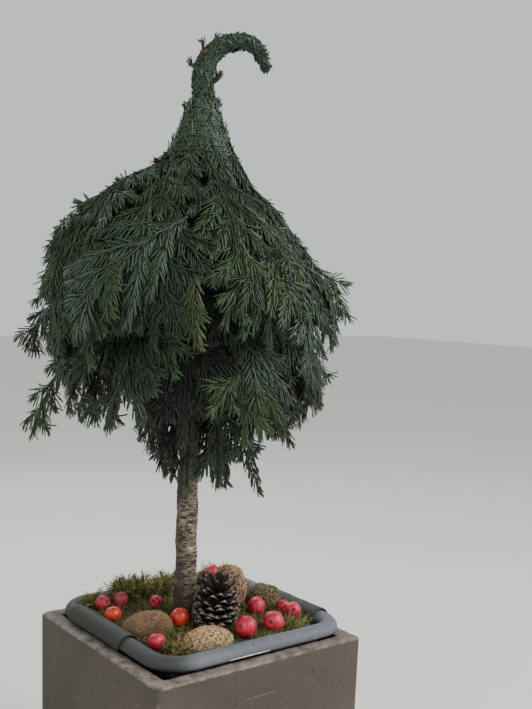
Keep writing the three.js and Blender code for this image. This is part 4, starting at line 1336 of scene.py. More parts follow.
# %% Collar and slipped shoots
GOLDEN_TURN = 3 - math.sqrt(5)  # from one spray or cone scale to the next, in half turns
COLLAR = {"sprays": 46, "radius": 41, "height": 1070, "length": 92, "steep": 66, "flat": (31, 60), "steps": 8}
COLLAR_VARIES = {"length": (0.65, 1.1), "radius": (-3, 3), "lower": (0, 14), "turn": 0.3}
SLIPPED = [  # bundle, distance along it, turn, length, way out
    (hook, 42, 184, 8, 0.5),
    (hook, 66, 190, 8, 0.6),
    (hook, 80, 176, 8, 0.4),
    (hook, 20, -12, 13, 0.8),
    (hook, 26, 6, 9, 0.6),
    (peak, 66, 186, 6, 0.5),
    (peak, 70, -6, 8, 0.4),
    (peak, 36, 10, 9, 0.3),
]
draw = np.random.default_rng(3)
for order in range(COLLAR["sprays"]):
    turn = order * math.pi * GOLDEN_TURN
    length = COLLAR["length"] * draw.uniform(*COLLAR_VARIES["length"])
    run = np.linspace(0, 1, COLLAR["steps"])
    end_slope = np.mean(COLLAR["flat"]) - np.ptp(COLLAR["flat"]) / 2 * math.cos(turn)
    slope = np.radians(COLLAR["steep"] + (end_slope - COLLAR["steep"]) * np.clip(run * 1.8, 0, 1))
    steps = np.array([np.cos(slope), np.sin(slope)]) * length / (COLLAR["steps"] - 1)
    steps[:, 0] = 0
    r = COLLAR["radius"] + draw.uniform(*COLLAR_VARIES["radius"]) + np.cumsum(steps[0])
    z = COLLAR["height"] - draw.uniform(*COLLAR_VARIES["lower"]) - np.cumsum(steps[1])
    azimuth = HOOK_TURN + math.pi + turn + draw.normal(0, COLLAR_VARIES["turn"]) * run
    way_out = np.column_stack([np.cos(azimuth), np.sin(azimuth), 0 * run])
    path = peak_foot * [1, 1, 0] + way_out * r[:, None] + z[:, None] * UPWARD
    face = way_out * np.sin(slope)[:, None] + np.cos(slope)[:, None] * UPWARD
    add_shoot(path, face, (1.4, 0.8), some_tint(draw), bare=13, needle=0.9)
for bound, along, turn, length, outward in SLIPPED:
    root, out, onward, _ = on_bundle(bound, along, math.radians(turn), 0.85)
    path = root + unit(out * outward + onward * 0.8) * np.linspace(0, length, 5)[:, None]
    face = np.repeat(unit(out - HOOK_ACROSS)[None], 5, axis=0)
    add_shoot(path, face, (1.7, 1.0), 0, needle=0.66, density=3.2, spread=0.36)
print(len(shoots), "shoots with the collar")

# %% [markdown]
# ## The outline in the photo
#
# The crown's outline was read off the photo, seen from the camera and measured at the trunk's distance. A
# shoot that would leave it is cut short there, so that the sky shows where it does in the photo. Shoots that
# have slipped out of the binding stay as they are.

# %% Cut the shoots to the outline
EYE = np.array(CAMERA_PLACE) / MM
EYE_ACROSS, EYE_DISTANCE = EYE @ HOOK_SIDE, -(EYE @ HOOK_ACROSS)
OUTLINE_MARGIN = 7  # room for the needles past the wood
RAGGED = {"depth": 14, "size": 16}  # how far and how often the outline goes in and out
BOX = np.array([cad_low, cad_high]) / MM
BOX_ROOM = 12  # how far a needle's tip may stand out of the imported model's box
OUTLINE = np.array(  # height, and how far the crown reaches to the left and to the right
    [(550, -26, 28), (576, -50, 38), (596, -70, 46), (616, -84, 56), (636, -100, 84), (652, -160, 128)]
    + [(668, -192, 158), (700, -206, 181), (735, -218, 187), (765, -236, 198), (794, -248, 204)]
    + [(853, -249, 195), (912, -239, 154), (941, -225, 131), (971, -204, 112)]
    + [(1007, -145, 80), (1043, -80, 59)]
)


def in_photo(places):
    """How far across and how high places show in the photo, measured at the trunk's distance."""
    scale = EYE_DISTANCE / (EYE_DISTANCE + places @ HOOK_ACROSS)
    return EYE_ACROSS + (places @ HOOK_SIDE - EYE_ACROSS) * scale, EYE[2] + (places[..., 2] - EYE[2]) * scale


def from_photo(across, height, depth):
    """The place that shows there in the photo, at a depth behind the trunk."""
    scale = (EYE_DISTANCE + depth) / EYE_DISTANCE
    side, level = EYE_ACROSS + (across - EYE_ACROSS) * scale, EYE[2] + (height - EYE[2]) * scale
    return side * HOOK_SIDE + depth * HOOK_ACROSS + level * UPWARD


def past_box(places, room):
    """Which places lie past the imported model's box by more than room."""
    return ((places < BOX[0] - room) | (places > BOX[1] + room)).any(axis=1)


def cut_to_outline(shoot):
    """A shoot cut where it leaves the outline, or nothing where it starts outside."""
    across, height = in_photo(shoot["path"])
    in_and_out = np.array([noise.noise(Vector((level / RAGGED["size"], 0, 0))) for level in height])
    left = np.interp(height, OUTLINE[:, 0], OUTLINE[:, 1]) + OUTLINE_MARGIN + RAGGED["depth"] * in_and_out
    right = np.interp(height, OUTLINE[:, 0], OUTLINE[:, 2]) - OUTLINE_MARGIN + RAGGED["depth"] * in_and_out
    outside = (across < left) | (across > right) | (height < OUTLINE[0, 0] + OUTLINE_MARGIN)
    outside |= past_box(shoot["path"], 0)
    kept = int(np.argmax(outside)) if outside.any() else len(outside)
    if kept < 2:
        return None
    return {**shoot, "path": shoot["path"][:kept], "face": shoot["face"][:kept]}


slipped_from = len(shoots) - len(SLIPPED)
shoots = [shoot for shoot in map(cut_to_outline, shoots[:slipped_from]) if shoot] + shoots[slipped_from:]
print(len(shoots), "shoots inside the outline")

# %% [markdown]
# Some sprays break the outline: they stick out at the sides, hang below the hem or, as the olive one does,
# lie in front of all the others. Each is laid where the photo shows it, by two to four points of its line,
# and then gets side shoots in pairs. Points are across and height, and depth is behind the trunk.

# %% Sprays that stick out
SIDE_SHOOT = {"turn": (34, 46), "length": (0.8, 1.2), "every": 3, "sag": 0.003}
STICKING_OUT = [  # line, depth, length of its side shoots, tint
    ([(-170, 790), (-212, 732), (-236, 684), (-252, 638)], -10, 30, 2),
    ([(-178, 770), (-194, 722), (-199, 674)], -40, 0, 3),
    ([(-164, 862), (-212, 836), (-246, 800), (-262, 768)], -20, 28, 0),
    ([(-176, 890), (-222, 864), (-250, 834)], -40, 26, 2),
    ([(-170, 936), (-206, 912), (-234, 876)], -60, 26, 2),
    ([(-136, 972), (-172, 966), (-200, 948)], -30, 26, 2),
    ([(-80, 990), (-118, 994), (-146, 992)], -20, 22, 0),
    ([(150, 902), (184, 868), (208, 826)], -30, 26, 2),
    ([(-32, 668), (-48, 622), (-54, 588)], -50, 26, 2),
    ([(-2, 668), (16, 610), (23, 572)], -30, 24, 0),
    ([(12, 672), (32, 612), (38, 574)], 10, 20, 0),
    ([(44, 690), (68, 620), (86, 562)], -20, 26, 0),
    ([(86, 716), (112, 668), (129, 638)], -30, 24, 0),
    ([(-96, 722), (-70, 672), (-56, 618)], -60, 26, 0),
    ([(-18, 876), (-20, 824), (-12, 778)], -238, 20, 3),
    ([(92, 730), (110, 684), (119, 650)], -60, 24, 2),
    ([(116, 750), (130, 708), (137, 676)], -20, 22, 0),
    ([(150, 790), (168, 740), (170, 700)], -50, 26, 1),
    ([(160, 870), (184, 830), (192, 790)], 0, 22, 1),
]
draw = np.random.default_rng(17)
for line, depth, side_length, tint in STICKING_OUT:
    path = flowing_line(np.array([from_photo(*place, depth) for place in line]), 4)
    tilt = 0.5 * np.sign(line[-1][0])
    face = np.repeat(unit(HOOK_SIDE * tilt - HOOK_ACROSS + [0, 0, 0.3])[None], len(path), axis=0)
    add_shoot(path, face, (1.8, 0.9), tint)
    tangent = unit(np.gradient(path, axis=0))
    every = SIDE_SHOOT["every"]
    for step in range(every, len(path) - every, every) if side_length else ():
        for side in (1, -1):
            turn = math.radians(draw.uniform(*SIDE_SHOOT["turn"]))
            aside = np.cross(face[step], tangent[step]) * side
            way = tangent[step] * math.cos(turn) + aside * math.sin(turn)
            run = np.linspace(0, side_length * draw.uniform(*SIDE_SHOOT["length"]), 4)[:, None]
            side_path = path[step] + way * run - run**2 * SIDE_SHOOT["sag"] * UPWARD
            add_shoot(side_path, face[:4], (1.1, 0.7), tint)
print(len(shoots), "shoots in all")

# %% [markdown]
# ## Wood and needles
#
# Now every shoot is dressed. The wood could have bark like the trunk's, but it is only two or three
# millimetres thick and hides under needles, so all of it is one mesh of three-sided tubes in a dull dark
# brown.

# %% Wood of the twigs
twig_wood, tree, shader = new_material("twig_wood", Roughness=0.95)
tone = wandering(tree, object_places(tree), 120.0, ("#191710", "#2e2a19"), Softness=0.2)
painted(shader, tone["Colour"])
tubes = [tube(shoot["path"], np.linspace(*shoot["radius"], len(shoot["path"]))) for shoot in shoots]
joined_tubes("twigs", tubes, [twig_wood], bough_names)

# %% [markdown]
# A fir's needle is flat, blunt and ridged, and up to 30 mm long. A three-sided prism with its ends drawn to a
# point has only twelve triangles, so the crown can have tens of thousands of them. It is pressed flat and
# bent aside and down. Mirrored copies bend the other way, so both ranks of a shoot curve to its bud.

# %% One needle
NEEDLE_BEND = {"aside": 1.9, "down": 1.1, "flat": 0.45}  # how its tip bends, in needle widths


def fir_needle():
    """A needle one unit long: narrow at its root, of even width, blunt, ridged on top, bent to one side."""
    bpy.ops.mesh.primitive_cone_add(vertices=3, radius1=0.58, radius2=0.52, depth=0.56)
    needle = bpy.context.object
    for end, step in ((1, 0.14), (-1, 0.3)):
        with editing(needle):
            pick(needle, "FACE", lambda face: face.normal.z * end > 0.9)
            bpy.ops.mesh.extrude_region_move(TRANSFORM_OT_translate={"value": (0, 0, end * step)})
            bpy.ops.mesh.merge(type="CENTER")

    def lay_flat(places):
        along = places[:, 2] + 0.58
        across = places[:, 0] + NEEDLE_BEND["aside"] * along**2
        high = places[:, 1] * NEEDLE_BEND["flat"] - NEEDLE_BEND["down"] * along**2
        return np.column_stack([along, across, high])

    return shape_points(needle, lay_flat)


needle_shape = shape_of(fir_needle())
print("one needle:", len(needle_shape[1]), "triangles")

# %% [markdown]
# A fir's needles are waxy and of one colour, so each tint is a plain finish with a soft shine. The tint
# changes from shoot to shoot, which is what shows in the photo. Needles that would stand far out of the
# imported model's box are left out.

# %% Needles of all the shoots
RANKS = ((1, 56, 4, 1, 1), (-1, 56, 4, 1, 1), (0, 30, 38, 0.9, 0.7))  # side, spread, rise, spacing, length
CLOSES_BY = 26  # degrees by which the needles close up towards the bud
UNEVEN = {"spread": 8, "rise": 7, "spacing": 0.4, "face": 0.15, "length": (0.86, 1.06)}
BUD = {"needles": 5, "spread": 0.3, "length": (0.45, 0.66), "width": 2.4}


def stacked(sets):
    """One long array for each place in a list of sets of arrays."""
    return [np.concatenate(parts) for parts in zip(*sets)]


def along_shoot(shoot, travelled, s, key):
    """A shoot's line, or its top side, at distances along it."""
    return np.stack([np.interp(s, travelled, column) for column in shoot[key].T], 1)


def dress(shoot, draw):
    """Origins, directions, top sides, lengths and signed widths of a shoot's needles."""
    steps = np.linalg.norm(np.diff(shoot["path"], axis=0), axis=1)
    travelled = np.concatenate([[0], np.cumsum(steps)])
    total = travelled[-1]
    shoot["tangent"] = unit(np.gradient(shoot["path"], axis=0))
    sets = []
    wilt = NEEDLE["wilt"] * draw.uniform(0.4, 1.5)
    longest = NEEDLE["length"] * shoot["needle"]
    for rank_side, wide, steep, apart, long in RANKS:
        step = NEEDLE["spacing"] * apart / shoot["density"]
        s = np.arange(shoot["bare"] + step * draw.random(), total, step)
        count = len(s)
        s = s + draw.normal(0, UNEVEN["spacing"], count)
        share = np.clip(s / total, 0, 1)
        tangent = along_shoot(shoot, travelled, s, "tangent")
        up = unit(along_shoot(shoot, travelled, s, "face"))
        aside = unit(np.cross(up, tangent))
        side = rank_side or draw.choice((-1, 1), count) + np.zeros(count)
        sway = side * (1 if rank_side else draw.uniform(0.3, 0.9, count))
        spread = wide - CLOSES_BY * share**2 + draw.normal(0, UNEVEN["spread"], count)
        spread = np.radians(spread) * shoot["spread"]
        rise = np.radians(steep + draw.normal(0, UNEVEN["rise"], count))
        out = unit(aside * (sway * np.cos(rise))[:, None] + up * np.sin(rise)[:, None])
        way = tangent * np.cos(spread)[:, None] + out * np.sin(spread)[:, None]
        way[:, 2] -= wilt * draw.uniform(0.6, 1.4, count)
        length = longest * draw.uniform(*UNEVEN["length"], count) * long
        length *= (1 - 0.35 * share**4) * np.clip(0.6 + s / 40, 0, 1)
        width = -side * NEEDLE["width"] * length / NEEDLE["length"]
        tops = up + draw.normal(0, UNEVEN["face"], up.shape)
        sets.append((along_shoot(shoot, travelled, s, "path"), way, tops, length, width))
    bud, tops = (np.repeat(shoot[key][-1:], BUD["needles"], axis=0) for key in ("path", "face"))
    ways = shoot["tangent"][-1] + draw.normal(0, BUD["spread"], (BUD["needles"], 3))
    length = longest * draw.uniform(*BUD["length"], BUD["needles"])
    sets.append((bud, ways, tops, length, np.full(BUD["needles"], BUD["width"])))
    return stacked(sets)


# The last code, for the shade tint, is painted shade.
NEEDLE_CODES = ("#20331c", "#344835", "#2d4521", "#37451f", "#101a10")
tints_and_codes = zip(TINTS, NEEDLE_CODES)
needle_finishes = [plain_finish(f"needle_{tint}", code, Roughness=0.4) for tint, code in tints_and_codes]
draw = np.random.default_rng(5)
dressed = [(shoot["tint"], dress(shoot, draw)) for shoot in shoots]
for dealt, tint in enumerate(TINTS):
    at, way, tops, length, width = stacked([parts for own_tint, parts in dressed if own_tint == dealt])
    inside = ~past_box(at + unit(way) * length[:, None], BOX_ROOM)
    axes = frames_along(way[inside], tops[inside], length[inside], width[inside])
    copies(f"needles_{tint}", [needle_finishes[dealt]], needle_shape, at[inside], axes)

# %% [markdown]
# ## Peak and hook
#
# The bundle's heart is a thick core with twigs laid along it. Its needles lie over each other in all
# directions, most of them along the bundle, pressed flat by the thin green wire that is wound round it. At
# one place they have turned yellow, and two cut twig ends show.

# %% Twigs inside the bundle
draw = np.random.default_rng(11)
heart = []
for bound, strands in ((peak, 54), (hook, 26)):
    along = np.linspace(0, bound["travelled"][-1], 30)
    heart.append(tube(bound["middle"], bound["radius"] * 0.78, 20))
    for turn in np.arange(strands) / strands * 2 * math.pi:
        sway = turn + 0.35 * np.sin(along / 30 + draw.uniform(0, 6))
        depth = 0.8 + 0.05 * np.sin(along / 17 + draw.uniform(0, 6))
        heart.append(tube(on_bundle(bound, along, sway, depth)[0], np.linspace(1.7, 1.1, 30), 4))
bound_nodes = ["peak", "hook_neck", "hook_arch", "hook_end"]
joined_tubes("bound_twigs", heart, [twig_wood], bound_nodes)

# %% Needles of the bundle
LAID = [  # bundle, count, length, lift, how far astray they lie, and the share that points back
    (peak, 3000, 28, (0.0, 0.07), 0.45, 0.2),
    (hook, 1900, 25, (-0.04, 0.04), 0.3, 0.25),
]
# Over half of the bundle's needles get the grey tint, partly painted sheen.
BOUND_SHARES = (0.3, 0.54, 0.14, 0.02, 0)
YELLOWED = {"across": -30, "height": 1088, "reach": 15, "yellow": 0.2}  # the rest of them turn olive
laid = []
for bound, count, longest, lifts, strays, back in LAID:
    weight = bound["radius"] / bound["radius"].sum()
    along = draw.choice(bound["travelled"], count, p=weight) + draw.normal(0, 3, count)
    turn = draw.uniform(0, 2 * math.pi, count)
    place, out, *_ = on_bundle(bound, along, turn, 0.9)
    length = longest * draw.uniform(0.6, 1.15, count)
    astray = draw.normal(0, strays, count)
    onward = length * np.cos(astray) * np.where(draw.random(count) < back, -1, 1)
    aside = length * np.sin(astray) / np.interp(along, bound["travelled"], bound["radius"])
    tip, tip_out, *_ = on_bundle(bound, along + onward, turn + np.clip(aside, -1, 1), 0.97)
    lift = draw.uniform(*lifts, count) + 0.3 * (draw.random(count) < 0.02)
    way = tip - place + tip_out * (lift * length)[:, None]
    length = np.minimum(length, np.linalg.norm(tip - place, axis=1) + 1)
    laid.append((place, way, out + draw.normal(0, 0.2, out.shape), length))
place, way, tops, length = stacked(laid)
width = NEEDLE["width"] * 1.1 * draw.choice((-1, 1), len(place))
dealt = draw.choice(len(TINTS), len(place), p=BOUND_SHARES)
across, height = in_photo(place)
off_yellow = np.hypot(across - YELLOWED["across"], height - YELLOWED["height"])
faces_camera = place @ HOOK_ACROSS < -8
turned = (off_yellow < YELLOWED["reach"] * draw.uniform(0.7, 1.4, len(place))) & faces_camera
yellow = draw.random(turned.sum()) < YELLOWED["yellow"]
dealt[turned] = np.where(yellow, len(TINTS), TINTS.index("olive"))
bound_finishes = [*needle_finishes, plain_finish("needle_yellow", "#66702f", Roughness=0.45)]
for number_of_tint, tint in enumerate((*TINTS, "yellow")):
    own = dealt == number_of_tint
    axes = frames_along(way[own], tops[own], length[own], width[own])
    copies(f"bound_needles_{tint}", [bound_finishes[number_of_tint]], needle_shape, place[own], axes)

# %% [markdown]
# The wire is thin and coated green. It is wound round peak and hook as a close helix, and crossed by a wider
# one that runs the other way. Two branches were cut off short, and their ends show between the needles.

# %% Binding wire
WIRE_RADIUS = 0.55
WINDINGS = ((peak, 7.5, (1, -0.35)), (hook, 8.5, (1, -0.6)))  # pitch, and how dense both helices are
wires = []
for bound, pitch, ways in WINDINGS:
    end = bound["travelled"][-1]
    for sense in ways:
        turns = end / pitch * abs(sense)
        along = np.linspace(0.5, end - 1, int(turns * 22))
        turn = math.copysign(2 * math.pi, sense) * turns * along / end
        proud = 1.0 + 0.03 * np.sin(along * 1.7) + 0.02 * np.sin(turn * 2.3)
        line = on_bundle(bound, along, turn, proud)[0]
        wires.append(tube(line, np.full(len(line), WIRE_RADIUS), 4))
wire_finish = plain_finish("green_wire", "#2f4d3b", Roughness=0.35)
joined_tubes("binding_wire", wires, [wire_finish])

# %% Cut twig ends
CUT_ENDS = [(3, 1114, -26, 2.3, "#6f6353"), (-12, 1200, -19, 2.1, "#5d3128")]
for count, (across, height, depth, radius, code) in enumerate(CUT_ENDS, 1):
    end = from_photo(across, height, depth)
    way = unit(HOOK_SIDE * 0.4 - HOOK_ACROSS * 0.8 + UPWARD * 0.35)
    line = end + way * np.linspace(-14, 3, 4)[:, None]
    finish = plain_finish(f"cut_wood_{count}", code, Roughness=0.8)
    joined_tubes(f"cut_twig_{count}", [tube(line, np.full(4, radius), 8)], [finish])

# %% [markdown]
# ## Stones
#
# Four rough stones lie in the moss. Each is a ball with slow waves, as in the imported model, that is then
# roughened with small grains. Two are coarse sandstone, one shows fine dark layers, and one is mossy.

# %% Stone shapes
STONES = [  # name, place, size, lift, turn, seed, and its grains: how deep, how large, how blunt its corners
    ("stone_left", (-93, -16), (76, 50, 48), 7, -0.5, 11, (0.6, 4, 1)),
    ("stone_front", (-48, -97), (86, 50, 48), 7, -0.12, 12, (1.2, 3.0, 1)),
    ("stone_tall", (70, 14), (52, 38, 88), 18, -0.66, 13, (1.7, 3.4, 0.78)),
    ("stone_right", (107, -25), (50, 30, 50), 7, -0.66, 14, (2.2, 3.8, 0.85)),
]
WAVES = {"count": 4, "height": 0.06, "often": 5}
CHIPS = {"size": 14, "height": 0.9}


def rough_stone(place, size, lift, turn, seed, grains):
    """A stone: its waves give the shape, and grains of a given depth and size roughen it."""
    draw = seeded(seed)
    waves = []
    for _ in range(WAVES["count"]):
        way = np.array([draw() - 0.5, draw() - 0.5, draw() - 0.5]) * WAVES["often"]
        waves.append((way, draw() * 2 * math.pi))
    depth, grain, blunt = grains
    cos, sin = math.cos(turn), math.sin(turn)
    x, y = place
    level = float(moss_height(x, y)) + lift

    def shape(places):
        swell = 1 + sum(WAVES["height"] * np.sin(places @ way + start) for way, start in waves)
        blocky = np.sign(places) * np.abs(places) ** blunt
        sized = blocky * swell[:, None] * np.array(size) / 2
        raised = []
        for spot in sized:
            chips = noise.fractal(Vector(spot / CHIPS["size"] + seed), 0.9, 2.0, 3)
            bits = abs(noise.noise(Vector(spot / grain)))
            raised.append(CHIPS["height"] * chips + depth * (bits - 0.3))
        sized = sized + unit(sized) * np.array(raised)[:, None]
        across = sized[:, 0] * cos - sized[:, 1] * sin + x
        beyond = sized[:, 0] * sin + sized[:, 1] * cos + y
        return np.column_stack([across, beyond, sized[:, 2] + level]) * MM

    bpy.ops.mesh.primitive_ico_sphere_add(subdivisions=6, radius=1)
    return smooth(shape_points(bpy.context.object, shape))


# %% [markdown]
# The grains are too small to model all of them, so the finish goes on where the mesh ends: two tones that
# change from grain to grain, specks, and a fine relief. On the layered stone the same patterns are squeezed
# in height, which makes bands of them.

# %% Stone finishes
def granular_stone(name, dark, light, fleck):
    """Coarse sandstone: grains of two tones, with darker and paler specks between them."""
    material, tree, shader = new_material(name, Roughness=0.92)
    places = object_places(tree)
    grains = wandering(tree, places, 300.0, (dark, light), Softness=0.1)
    freckled = mix(tree, speckled(tree, places, 330.0, 0.42), grains["Colour"], colour(fleck))
    dotted = mix(tree, speckled(tree, places, 300.0, 0.42), freckled, colour("#2c2018"))
    painted(shader, dotted)
    roughened(tree, shader, places, 420.0, 0.0012)
    return material


def layered_stone(name, dark, light, lichen):
    """A stone with fine layers that run along it, and a thin film of lichen in patches."""
    material, tree, shader = new_material(name, Roughness=0.88)
    places = object_places(tree, (1, 1, 5))
    layers = wandering(tree, places, 170.0, (dark, light), Softness=0.2)
    film = share_of(tree, wandering(tree, object_places(tree), 30.0, Balance=0.58)["Mask"], 0.6)
    painted(shader, mix(tree, film, layers["Colour"], colour(lichen)))
    roughened(tree, shader, places, 260.0, 0.0014)
    return material


stone_finishes = {
    "stone_left": layered_stone("layered_stone", "#4a3626", "#7f6146", "#85764a"),
    "stone_front": granular_stone("pale_sandstone", "#6e5234", "#b59a72", "#d8c8a4"),
    "stone_tall": granular_stone("pale_brown_sandstone", "#5e4534", "#a08264", "#c9b498"),
    "stone_right": granular_stone("mossy_stone", "#3c3122", "#75674c", "#6a6a3c"),
}
for name, *rules in STONES:
    finished(rough_stone(*rules), f"rough_{name}", [stone_finishes[name]], [name])

# %% [markdown]
# ## Pine cone
#
# An opened pine cone stands on the moss. Its scales sit on a spiral, each a golden turn on from the last
# one. They lie almost level at its widest and stand up towards its tip. One scale is modelled and copied.

# %% Cone scale
CONE = {"at": (-1, -43), "height": 80, "radius": 36, "sink": 4, "lean": (0.17, 0.03)}
SCALES = {"count": 118, "blades": 17, "width": 15.5}
BLADE = {"length": 34, "width": 8.5}  # the upright scales at the tip
CONE_RISES = ((0, 0.5, 0.77, 0.79, 1), (-16, 0, 20, 34, 76))  # degrees at shares of the way to the tip
CONE_HEIGHTS = ((0, 0.78, 1), (9, 52, 57))


def cone_swell(share):
    """The cone's radius as a share of its widest, from its foot to its tip."""
    return np.sin(np.pi * (0.24 + 0.6 * share**0.9)) ** 0.75


def cone_scale():
    """A scale one unit long and one wide: a thin tongue with a thick end and a pale raised lip."""
    bpy.ops.mesh.primitive_grid_add(x_subdivisions=10, y_subdivisions=8, size=1)
    scale = bpy.context.object
    modify(scale, "SOLIDIFY", thickness=0.1, offset=0)

    def shape(places):
        along, across, high = places[:, 0] + 0.5, places[:, 1], places[:, 2]
        width = 0.28 + 0.72 * np.sin(np.pi / 2 * np.clip(along / 0.72, 0, 1)) ** 1.3
        width *= np.sqrt(np.clip(1 - (np.maximum(0, along - 0.72) / 0.31) ** 2.2, 0.02, 1))
        swelling = np.clip((along - 0.72) / 0.18, 0, 1) * np.clip((1.04 - along) / 0.1, 0.2, 1)
        thick = 0.6 + 2.6 * swelling * (1 - 1.7 * np.abs(across))
        knob = 0.05 * np.exp(-((along - 0.92) ** 2 / 0.003 + across**2 / 0.02)) * (high > 0)
        cup = -0.16 * (across * 2) ** 2 * width + 0.16 * along**2
        return np.column_stack([along, across * width, high * thick + cup + knob])

    shape_points(scale, shape)
    for _ in range(3):
        scale.data.materials.append(None)
    for face in scale.data.polygons:
        centre = face.center
        lip = centre.x > 0.93 and face.normal.z > -0.3
        face.material_index = (2 if abs(centre.y) < 0.12 and centre.x > 0.97 else 1) if lip else 0
    return scale


def cone_places():
    """Places and axes of the scales from the cone's foot up, with the open blades at its tip last."""
    draw = np.random.default_rng(31)
    count, body = SCALES["count"], SCALES["count"] - SCALES["blades"]
    order = np.arange(count)
    share = np.interp(order, (0, body, count), (0.02, 0.78, 1))
    turn = order * math.pi * GOLDEN_TURN + draw.normal(0, 0.06, count)
    out = np.column_stack([np.cos(turn), np.sin(turn), 0 * turn])
    blade = order >= body
    rise = np.radians(np.interp(share, *CONE_RISES) + draw.normal(0, 5, count))
    way = out * np.cos(rise)[:, None] + UPWARD * np.sin(rise)[:, None]
    reach = CONE["radius"] * cone_swell(share) * draw.uniform(0.93, 1.02, count)
    core = 0.3 * CONE["radius"] * cone_swell(share) * (1 - 0.6 * share)
    blade_length = BLADE["length"] * draw.uniform(0.85, 1.05, count)
    length = np.where(blade, blade_length, (reach - core) / np.cos(rise))
    height = np.interp(share, *CONE_HEIGHTS) + draw.normal(0, 0.7, count)
    place = out * core[:, None] + height[:, None] * UPWARD
    face = UPWARD * np.cos(rise)[:, None] - out * np.sin(rise)[:, None]
    face += draw.normal(0, 0.12, face.shape)
    width = np.where(blade, BLADE["width"], SCALES["width"] * (1 - 0.25 * share**2))
    return place, frames_along(way, face, length, width * draw.uniform(0.88, 1.1, count))


# %% Cone with its scales
cone_dark = plain_finish("cone_dark", "#1f1712", Roughness=0.75)
cone_lip = plain_finish("cone_lip", "#574d45", Roughness=0.8)
cone_knob = plain_finish("cone_knob", "#8f8880", Roughness=0.8)
cone_foot = [*CONE["at"], float(moss_height(*CONE["at"])) - CONE["sink"]]
lean = np.array(Matrix.Rotation(CONE["lean"][1], 3, "Y") @ Matrix.Rotation(CONE["lean"][0], 3, "X"))
place, axes = cone_places()
place = place @ lean.T + cone_foot
axes = np.einsum("ij,njk->nik", lean, axes)
cone_finishes = [cone_dark, cone_lip, cone_knob]
copies("pine_cone_scales", cone_finishes, shape_of(cone_scale()), place, axes, ["pine_cone"])
core_share = np.linspace(0, 1, 16)
core_path = core_share[:, None] * [0, 0, CONE["height"] * 0.86] @ lean.T + cone_foot
core_radius = 0.36 * CONE["radius"] * cone_swell(core_share) * (1 - 0.5 * core_share)
joined_tubes("pine_cone_core", [tube(core_path, core_radius, 14)], [cone_dark])

# %% [markdown]
# ## Crab apples
#
# Twelve small crab apples lie in the moss. One ball is shaped to an apple with a dimple at both ends, and
# each apple is a copy of it that is a little uneven in its own way.

# %% Apple shapes
APPLES = [  # x, y, size, tilt, turn
    (-105, 103, 26, 60, 20),
    (-79, 93, 26, 100, 60),
    (-113, 56, 26, 160, 20),
    (-38, 58, 22, 80, -60),
    (-45, -22, 31, 160, 120),
    (-111, -67, 27, 15, 150),
    (92, 96, 26, 120, -90),
    (17, -101, 34, 105, 100),
    (77, -45, 29, 100, 80),
    (63, -106, 33, 100, 120),
    (121, -57, 21, 90, -20),
    (116, -86, 27, 110, 140),
]


def apple_shape(places, size, seed):
    """A ball made into an apple: dimpled at stalk and flower, and slightly ribbed and uneven."""
    turn = np.arctan2(places[:, 1], places[:, 0])
    around = np.hypot(places[:, 0], places[:, 1])
    up = places[:, 2]
    ribs = 1 + 0.02 * np.sin(5 * turn + seed) * around + 0.03 * np.sin(2 * turn + seed * 2) * around
    radius = around * size * 0.47 * ribs * (1 + 0.05 * up)
    stalk_dimple = 0.13 * np.exp(-((around / 0.3) ** 2)) * (up > 0)
    flower_dimple = 0.07 * np.exp(-((around / 0.25) ** 2)) * (up < 0)
    level = size * (0.46 * up - stalk_dimple + flower_dimple)
    return np.column_stack([radius * np.cos(turn), radius * np.sin(turn), level])


# %% [markdown]
# Apple skin is red mottled with brighter red, with fine dark streaks from stalk to flower and pale dots. A
# weak, soft coat gives it a waxy shine. Two of the apples are more orange, and two are duller.

# %% Apple skin
def apple_skin(name, code, bright, streak, roughness):
    """Glossy red skin, mottled brighter, with fine darker streaks from stalk to flower and pale dots."""
    material, tree, shader = new_material(name, Roughness=roughness, Coat_Weight=0.14, Coat_Roughness=0.3)
    places = object_places(tree)
    skin = wandering(tree, places, 55.0, (code, bright), Softness=0.22)
    lines = wandering(tree, object_places(tree, (3, 3, 0.7)), 110.0, Softness=0.06, Balance=0.58)["Mask"]
    streaked = mix(tree, share_of(tree, lines, 0.55), skin["Colour"], colour(streak))
    dots = share_of(tree, speckled(tree, places, 420.0, 0.22), 0.5)
    painted(shader, mix(tree, dots, streaked, colour("#d98a5c")))
    return material


apple_red = apple_skin("apple_red", "#9c1128", "#d22c48", "#6b0b1c", 0.42)
apple_orange = apple_skin("apple_orange", "#b8220f", "#dc4418", "#8c160c", 0.38)
apple_dull = apple_skin("apple_dull", "#7c1a2a", "#b23246", "#4a0d18", 0.5)
stalk_finish = plain_finish("apple_stalk", "#3a2415", Roughness=0.7)
apple_finishes = {5: apple_orange, 3: apple_orange, 1: apple_dull, 2: apple_dull}

# %% Twelve crab apples
STALK_LENGTH = 12
OWN_STALKS = {3: 0, 5: 0, 11: 8}  # lengths by the apple's number
LIFT = 0.36  # height of its middle over the moss, as a share of its size
OWN_LIFTS = {7: 0.8}


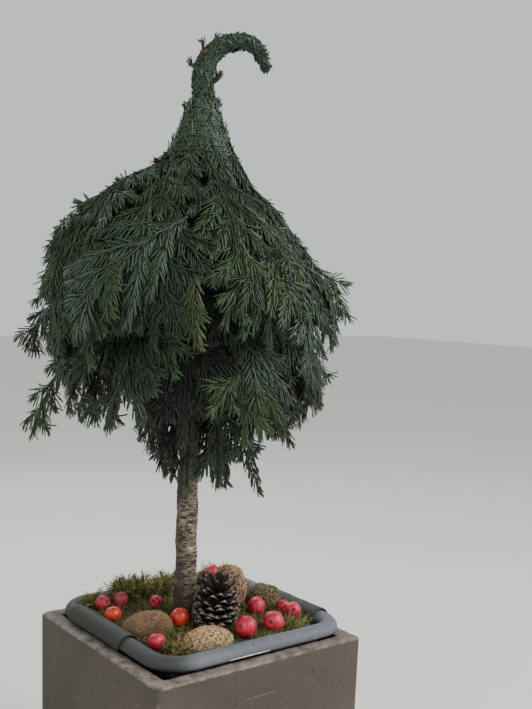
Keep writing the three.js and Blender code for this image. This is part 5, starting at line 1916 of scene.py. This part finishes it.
def thin_part(name, path, radii, sides):
    """A stalk or a dried petal, in the stalk's finish."""
    part = mesh_piece(name, *tube(path, radii, sides))
    part.data.materials.append(stalk_finish)
    return part


for count, (x, y, size, tilt, turn) in enumerate(APPLES, 1):
    bpy.ops.mesh.primitive_uv_sphere_add(segments=40, ring_count=24, radius=1)
    fruit = shape_points(bpy.context.object, lambda places: apple_shape(places, size, count) * MM)
    level = float(moss_height(x, y)) + size * OWN_LIFTS.get(count, LIFT)
    to_place = Matrix.Rotation(math.radians(turn), 4, "Z") @ Matrix.Rotation(math.radians(tilt), 4, "X")
    place = Vector((x, y, level)) * MM
    fruit.data.materials.append(apple_finishes.get(count, apple_red))
    parts = [fruit]
    stalk_length = OWN_STALKS.get(count, STALK_LENGTH)
    if stalk_length:
        share = np.linspace(0, 1, 8)
        rise = size * 0.3 + (stalk_length + size * 0.12) * share
        bend = np.column_stack([1.6 * share**2, 0 * share, rise])
        parts.append(thin_part("stalk", bend, 0.55 + 0.5 * share**6, 5))
    for petal in range(5):
        way = petal * 2 * math.pi / 5
        share = np.linspace(0, 1, 4)
        reach, drop = 1.0 + 2.4 * share, -0.38 * size - 1.6 * share
        line = np.column_stack([reach * math.cos(way), reach * math.sin(way), drop])
        parts.append(thin_part("petal", line, 1.0 - 0.8 * share, 4))
    joined(parts)
    fruit.data.transform(Matrix.Translation(place) @ to_place)
    finished(smooth(fruit), f"crab_apple_fruit_{count}", [], [f"crab_apple_{count}"])

# %% [markdown]
# Two bare stalks stick up out of the moss at the photo's left. They have lost their apples, so they are thin
# tubes in the stalks' own finish.

# %% Loose stalks in the moss
STALKS = [([(-117, 374), (-130, 391), (-143, 411)], 36), ([(-108, 376), (-118, 390), (-125, 404)], 40)]
stalks = []
for line, depth in STALKS:
    path = flowing_line(np.array([from_photo(*place, depth) for place in line]), 6)
    stalks.append(tube(path, np.full(len(path), 0.7), 5))
joined_tubes("loose_stalks", stalks, [stalk_finish])

# %% [markdown]
# ## Size
#
# The dressed object keeps to the imported model's box. Its bounds are measured again at the end.

# %% Measure the dressed object's bounds
low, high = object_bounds()
